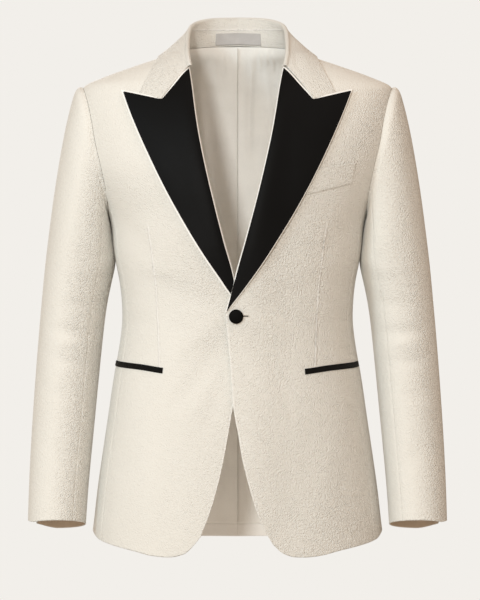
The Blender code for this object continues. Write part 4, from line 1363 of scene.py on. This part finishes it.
def make_collar():
    """The collar and the bare label inside its stand."""
    face = both_halves(collar_half())
    normals = grid_normals(face)
    middle = COLLAR_STATIONS * COLLAR_REFINE
    centre = face[middle, 0]
    if np.dot(normals[middle, 0], np.array([0, INSIDE_NECK_Y, centre[2]]) - centre) < 0:
        normals = -normals
    columns = face.shape[1]
    fall = share_between(np.arange(columns), FALL_START, columns - 1)[None, :, None]
    face = face + normals * COLLAR_FALL_ROUND * np.sin(math.pi * fall)
    rounded = grid_normals(face)
    normals = rounded * np.sign((rounded * normals).sum(axis=-1, keepdims=True))
    face = with_rims(face)
    normals = unit(with_rims(normals))
    columns = face.shape[1]
    column = np.arange(columns)
    # The stand's seam line: the ridge above it carries a painted highlight.
    above_seam = STAND_SEAM_Z + STAND_SEAM_SLOPE * face[..., 1] - face[..., 2]
    seam = np.where(column[None, :] < STAND_COLUMNS + 2, above_seam, LINE_FAR)
    lines = {"line": seam, "line_share": np.ones(face.shape[:2])}
    foot = COLLAR_FOOT_DIP * np.clip(1 - column / COLLAR_FOOT_COLUMNS, 0, 1)
    edge = np.clip((column - columns * COLLAR_EDGE_START) / (columns * COLLAR_EDGE_SHARE), 0, 1) ** 1.5
    wall = COLLAR_WALL - foot - COLLAR_EDGE_THIN * edge
    face = face - normals * (foot + COLLAR_EDGE_DROP * edge)[None, :, None]
    make_piece("collar", None, face, face - normals * wall[None, :, None], (CLOTH_SEAMED,),
               bulge=0.45, lines=lines)
    make_label(face, normals, len(face) // 2)


def make_label(face, normals, middle):
    """A bare ribbon sewn to the inside of the collar stand by its two ends."""
    span = 2 * COLLAR_REFINE
    rows = slice(middle - span, middle + span + 2)
    base = face[rows, 1]
    tall = face[rows, STAND_COLUMNS] - base
    out = normals[rows, STAND_COLUMNS // 2]
    shares = np.linspace(*LABEL_SHARES, LABEL_ROWS)
    grid = np.stack([base + tall * share + out * LABEL_LIFT for share in shares], axis=1)
    along = np.linspace(-1, 1, len(grid))[:, None, None]
    grid = grid + out[:, None] * (LABEL_BOW * (1 - along ** 6))
    grid = with_rims(np.swapaxes(grid, 0, 1))
    out = with_rims(np.broadcast_to(out[None], (LABEL_ROWS,) + out.shape))
    make_piece("label", None, grid + out * LABEL_WALL, grid, (RIBBON,), bulge=0.4)


def welt_faces(place, height, side, under, dips, lean=0.0):
    """Return a welt's faces at a place on the body, over the lap and creases of the front."""
    out = body_normal(place)
    low = (lap(place[..., 0], side) + height)[..., None] + WELT_SEAT + lean
    return place + out * (low + WELT_WALL - dips), place + out * (low - under)


def make_breast_welt():
    """The breast pocket's welt: sewn down at its ends and foot, its top edge free."""
    rows, columns = BREAST_WELT_CELLS
    bottom = spaced_flat(BREAST_WELT["bottom"], columns)
    top = spaced_flat(BREAST_WELT["top"], columns)
    shares = np.linspace(0, 1, rows + 1)[:, None, None]
    grid = with_rims(bottom[None] * (1 - shares) + top[None] * shares)
    lean = BREAST_WELT_LEAN * np.linspace(0, 1, len(grid))[:, None, None] ** 3
    height = crease_heights(grid[..., 0], grid[..., 1], FRONT_CREASES)
    dips = seam_dips(grid.shape[:2], bottom=1.1, left=0.6, right=1.1)
    place = body_surface(on_front(grid))
    face, under = welt_faces(place, height, "left", WELT_UNDER["breast"], dips, lean)
    make_piece("breast_welt", None, face, under, (CLOTH,), bulge=0.25)


def make_hip_welt(side):
    """A hip pocket's ribbed black welt."""
    rows, columns = HIP_WELT_CELLS
    middle = spaced(HIP_WELTS[side], columns)
    heights = np.linspace(-HIP_WELT_HEIGHT / 2, HIP_WELT_HEIGHT / 2, rows + 1)
    place = body_surface(with_rims(np.stack([middle + [0, height] for height in heights])))
    height = crease_heights(place[..., 0], place[..., 2], FRONT_CREASES)
    dips = seam_dips(place.shape[:2], bottom=0.5, top=0.5, left=0.5, right=0.5)
    face, under = welt_faces(place, height, side, WELT_UNDER["hip"], dips)
    make_piece("hip_welt", side, face, under, (RIB,))


def ring_points(values, turn):
    """Return the points of sleeve rings: values has a row of SleeveRing fields for each ring."""
    power = 2 / SLEEVE_ROUNDNESS
    out = (np.sign(np.cos(turn)) * np.abs(np.cos(turn)) ** power)[None]
    fore = (np.sign(np.sin(turn)) * np.abs(np.sin(turn)) ** power)[None]
    outer_x, outer_z, inner_x, inner_z, half_depth, centre_y, back_drop = values.T[:, :, None]
    x = (outer_x + inner_x) / 2 + out * (outer_x - inner_x) / 2
    z = (outer_z + inner_z) / 2 + out * (outer_z - inner_z) / 2 + fore * back_drop / 2
    y = centre_y - fore * half_depth
    return np.stack([x, y, z], axis=-1)


def armhole_loop(turn):
    """Return the armhole's points on the body, at the given turns round the sleeve."""
    base = np.array(ARMHOLE_BASE, float)
    front = np.concatenate([np.array(ARMHOLE_FRONT[:-1], float), base[:3]])
    back = np.concatenate([np.array(ARMHOLE_BACK[:-1], float), base[:1:-1]])
    loop = np.concatenate([spaced(front, ARMHOLE_FINE), spaced(back, ARMHOLE_FINE)[-2::-1]])
    centre = np.array(ARMHOLE_CENTRE)
    loop = centre + (loop - centre) * np.array(ARMHOLE_SCALE)
    steps = np.linspace(0, 2 * math.pi, len(loop))
    loop = np.stack([np.interp(turn, steps, column) for column in loop.T], axis=-1)
    points = body_surface(loop)
    return points + body_normal(points) * ARMHOLE_CLEAR


def vented(grid, turn):
    """Return the sleeve with its edge turned up level at the outer side, where the upper sleeve
    laps over the under one, and stepped down to the under sleeve's edge."""
    out = np.cos(turn)
    start = np.argmin(np.abs(out - VENT_LAP_START) + (np.sin(turn) < 0))
    level = grid[-1, start, 2]
    beside = np.clip(1 - (VENT_LAP_START - out) / VENT_STEP_REACH, 0, 1) ** VENT_STEP_POWER
    share = np.where(out > VENT_LAP_START, 1.0, VENT_STEP_SHARE * beside * (np.sin(turn) < 0))
    near = np.clip(1 - (grid[..., 2] - grid[-1, :, 2]) / VENT_FADE, 0, 1)
    grid[..., 2] += share * (level - grid[-1, :, 2]) * near
    return grid


def sleeve_points():
    """Return the outer face of the left sleeve as a closed grid, from the armhole down."""
    table = np.array(SLEEVE_RINGS)
    places = np.linspace(0, 1, SLEEVE_ROWS + 1)
    places = (len(table) - 1) * (SLEEVE_CROWD * places ** 2 + (1 - SLEEVE_CROWD) * places)
    values = [curve_through(range(len(table)), column)(places) for column in table.T]
    turn = np.linspace(0, 2 * math.pi, SLEEVE_COLUMNS, endpoint=False)
    grid = ring_points(np.stack(values, axis=-1), turn)
    residue = armhole_loop(turn) - ring_points(table[:1], turn)[0]
    share = np.clip(1 - places / CAP_RINGS, 0, 1) ** 1.5
    return vented(grid + residue[None] * share[:, None, None], turn)


def round_outwards(grid):
    """Return the normals of the sleeve's grid, outwards."""
    normals = grid_normals(grid, closed=True)
    outside = grid[-1, 0] - grid[-1].mean(axis=0)
    return -normals if np.dot(normals[-1, 0], outside) < 0 else normals


def softened(grid, rounds):
    """Return a closed grid with its bends along the sleeve rounded off."""
    for _ in range(rounds):
        grid[1:-1] = grid[1:-1] * 0.5 + (grid[:-2] + grid[2:]) * 0.25
    return grid


def make_sleeves():
    """Two-piece sleeves, set in at the armhole with a soft roll, and the lining in their cuffs."""
    grid = softened(sleeve_points(), SLEEVE_SOFTENING)
    normals = round_outwards(grid)
    turn = np.linspace(0, 360, SLEEVE_COLUMNS, endpoint=False)
    around = np.broadcast_to(turn * SLEEVE_CREASE_SCALE, grid.shape[:2])
    height = crease_heights(around, grid[..., 2], SLEEVE_CREASES)
    front, back = [round(seam / SLEEVE_SIDES * SLEEVE_COLUMNS) for seam in SLEEVE_SEAMS]
    parts = {"upper": range(back - SLEEVE_COLUMNS, front + 1), "under": range(front, back + 1)}
    cuff = slice(int(CUFF_LINING_TOP * SLEEVE_ROWS), int(CUFF_LINING_END * SLEEVE_ROWS) + 1)
    for side in ("left", "right"):
        for part, columns in parts.items():
            columns = list(columns)
            base = with_rims(grid[:, columns])
            out = unit(with_rims(normals[:, columns]))
            raised = with_rims(height[:, columns][..., None])
            dips = seam_dips(base.shape[:2], bottom=0.6, left=0.8, right=0.8)
            face = base + out * (raised - dips)
            make_piece(part, side, face, face - out * BODY_WALL, (CLOTH, SHADED_SLEEVE_LINING))
        # The cuff lining and the sleeves' under faces carry the darker lining: painted shade.
        face = grid[cuff] - normals[cuff] * (BODY_WALL + CUFF_LINING_GAP)
        under = face - normals[cuff] * LINING_WALL
        make_piece("cuff", side, face, under, (SHADED_SLEEVE_LINING,), closed=True)


def ring_mesh(name, grid, material, caps=()):
    """Make a round piece that rides on the body, from rings of points; caps are faces for ends."""
    faces = [grid_quads(*grid.shape[:2]), *caps]
    places = cloth_places(grid).reshape(-1, 2)
    made = build(name, grid.reshape(-1, 3), faces, places, (material,))
    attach(made, BODY)
    return made


def lathe(profile, steps, centre, out):
    """Return rings for a profile of (radius, height) pairs, turned about the out direction."""
    out = unit(np.asarray(out, float))
    side = unit(np.cross([0, 0, 1.0], out))
    up = np.cross(out, side)
    turn = np.linspace(0, 2 * math.pi, steps, endpoint=False)
    ring = np.cos(turn)[:, None] * side + np.sin(turn)[:, None] * up
    return np.stack([centre + ring * radius + out * height for radius, height in profile])


def front_spot(x, z, height):
    """Return a point over the left front, and the direction out of it."""
    place = body_surface(on_front(np.array([(x, z)])))[0]
    out = body_normal(place)
    raised = float(lap(np.array(x), "left"))
    return place + out * (raised + height), out


def make_button():
    """The covered front button: a low dome with its cloth drawn under the rim. The profile is in
    shares of its radius and height."""
    centre, out = front_spot(*BUTTON_CENTRE, SEAM_GAP + BUTTON_RAISE)
    r, h = BUTTON_RADIUS, BUTTON_HEIGHT
    rim = [(r * (0.90 + 0.10 * math.sin(t)), h * (0.42 - 0.30 * math.cos(t)))
           for t in np.linspace(0, 0.62 * math.pi, 10)]
    top = [(r * (0.955 - 0.953 * s), h * (0.62 + 0.36 * math.sin(math.pi / 2 * s)))
           for s in np.linspace(0.06, 1, 16)]
    profile = [(0.02, 0.0), (r * 0.6, 0.0)] + rim + top
    made = ring_mesh("button_cover", lathe(profile, BUTTON_SIDES, centre, out), COVER)
    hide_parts("button")


def tube(name, path, radius, material, pitch=0.0):
    """Make a thread along a path; with a pitch it swells once for each stitch."""
    path = np.asarray(path, float)
    tangent = unit(np.gradient(path, axis=0))
    side = unit(np.cross(tangent, [0, 1.0, 0]))
    up = np.cross(side, tangent)
    swell = np.ones(len(path))
    if pitch:
        swell = 0.78 + 0.30 * np.abs(np.sin(math.pi * travelled(path) / pitch))
    swell[0] = swell[-1] = THREAD_END
    turn = np.linspace(0, 2 * math.pi, THREAD_SIDES, endpoint=False)
    ring = np.cos(turn)[None, :, None] * side[:, None] + np.sin(turn)[None, :, None] * up[:, None]
    grid = path[:, None] + ring * (radius * swell)[:, None, None]
    cap = np.array([[0, 1, 2, 3], [0, 3, 4, 7], [4, 5, 6, 7]])
    ring_mesh(name, grid, material, (cap[:, ::-1], cap + (len(path) - 1) * THREAD_SIDES))


def make_buttonhole():
    """The buttonhole: a purled thread edge that rounds its end, round a slit filled with a dark tube as
    painted shade.
    """
    z = BUTTON_CENTRE[1] + HOLE_RAISE
    half = HOLE_HALF_WIDTH + HOLE_THREAD_RADIUS
    places = [(x, z + half) for x in np.linspace(HOLE_START_X, HOLE_END_X, 60)]
    places += [(HOLE_END_X + half * math.sin(t) * HOLE_TIP_STRETCH, z + half * math.cos(t))
               for t in np.linspace(0.15, math.pi - 0.15, 14)]
    places += [(x, z - half) for x in np.linspace(HOLE_END_X, HOLE_START_X, 60)]
    path = [front_spot(*place, 0.1)[0] for place in places]
    tube("buttonhole_thread", path, HOLE_THREAD_RADIUS, IVORY_THREAD, HOLE_STITCH_PITCH)
    # Painted shade in the slit.
    slit = [front_spot(x, z, -0.15)[0] for x in np.linspace(HOLE_START_X, HOLE_END_X + 0.3, 30)]
    tube("buttonhole_slit", slit, HOLE_HALF_WIDTH + 0.1, SLIT_SHADE)


# Studio

CAMERA_PLACE = (0.0036, -4.0, -0.3596)
CAMERA_LENS = 110.3
SENSOR_HEIGHT = 24.0
FLOOR_Z = -1.25
FLOOR_SIZE = 3.0
BACKDROP_COLOUR = (0.888, 0.863, 0.823)
AMBIENT_COLOUR = (0.97, 0.745, 0.56)
AMBIENT_STRENGTH = 0.54

Light = namedtuple("Light", "name place target size power colour")
LIGHTS = (
    Light("key", (-2.75, -3.1, 1.5), (0, 0, -0.35), 1.0, 49.0, (0.65, 0.87, 1.0)),
    Light("front", (-0.80, -4.4, 0.65), (0, 0, -0.3), 0.45, 88.0, (0.965, 0.970, 0.945)),
    Light("back", (-0.9, 4.0, 1.3), (0, 0, -0.3), 1.6, 60.0, (0.97, 0.99, 1.0)),
    Light("top", (1.0, -1.5, 2.2), (0, 0, -0.2), 1.2, 10.0, (1.0, 0.92, 0.9)),
)


def add_object(name, data):
    """Add an object with its data to the scene."""
    made = bpy.data.objects.new(name, data)
    bpy.context.scene.collection.objects.link(made)
    return made


def make_camera():
    """The camera that sees the jacket as the photo does."""
    data = bpy.data.cameras.new("camera")
    data.lens = CAMERA_LENS
    data.sensor_fit = "VERTICAL"
    data.sensor_height = SENSOR_HEIGHT
    data.clip_end = 50.0
    camera = add_object("camera", data)
    camera.location = CAMERA_PLACE
    camera.rotation_euler = (math.pi / 2, 0, 0)
    bpy.context.scene.camera = camera


def make_lights():
    """Soft lamps that the camera doesn't see, each turned to its target."""
    for light in LIGHTS:
        data = bpy.data.lights.new(light.name, "AREA")
        data.shape = "SQUARE"
        data.size = light.size
        data.energy = light.power
        data.color = light.colour
        lamp = add_object(light.name, data)
        lamp.location = light.place
        lamp.visible_camera = False
        aim = np.array(light.target) - np.array(light.place)
        tilt = math.atan2(math.hypot(aim[0], aim[1]), -aim[2])
        lamp.rotation_euler = (tilt, 0, math.atan2(aim[0], -aim[1]) + math.pi)


def make_world():
    """Soft light from all round, over a plain pale backdrop."""
    world = bpy.data.worlds.new("studio")
    bpy.context.scene.world = world
    world.use_nodes = True
    tree = world.node_tree
    soft = tree.nodes["Background"]
    fill(tree, soft, (("Color", (*AMBIENT_COLOUR, 1)), ("Strength", AMBIENT_STRENGTH)))
    plain = node(tree, "ShaderNodeBackground", (("Color", (*BACKDROP_COLOUR, 1)), ("Strength", 1.0)))
    seen = node(tree, "ShaderNodeLightPath").outputs["Is Camera Ray"]
    mixed = node(tree, "ShaderNodeMixShader", ((0, seen), (1, soft.outputs[0]), (2, plain.outputs[0])))
    tree.links.new(mixed.outputs[0], tree.nodes["World Output"].inputs["Surface"])


def make_floor():
    """A plain, faintly mottled floor below the jacket."""
    mesh = bpy.data.meshes.new("floor")
    corners = [(-1, -1), (1, -1), (1, 1), (-1, 1)]
    mesh.from_pydata([(x * FLOOR_SIZE, y * FLOOR_SIZE, FLOOR_Z) for x, y in corners], [], [(0, 1, 2, 3)])
    made, tree = new_material("floor_paint")
    mottle = noise(tree, object_place(tree), 3.0, detail=3.0)
    colour = ramp(tree, mottle, (0.3, (0.60, 0.57, 0.53)), (0.7, (0.63, 0.60, 0.56)))
    fill(tree, tree.nodes["Principled BSDF"], (("Base Color", colour), ("Roughness", 0.9)))
    mesh.materials.append(made)
    add_object("floor", mesh)


def main():
    """Make the studio and every piece, in a fixed order."""
    bpy.context.scene.view_settings.view_transform = "Standard"
    make_camera()
    make_lights()
    make_world()
    make_floor()
    for side in ("left", "right"):
        make_front(side)
        make_side(side)
        make_back(side)
        make_lining(side)
        make_lapel(side)
        make_hip_welt(side)
    make_collar()
    make_breast_welt()
    make_sleeves()
    make_button()
    make_buttonhole()


main()
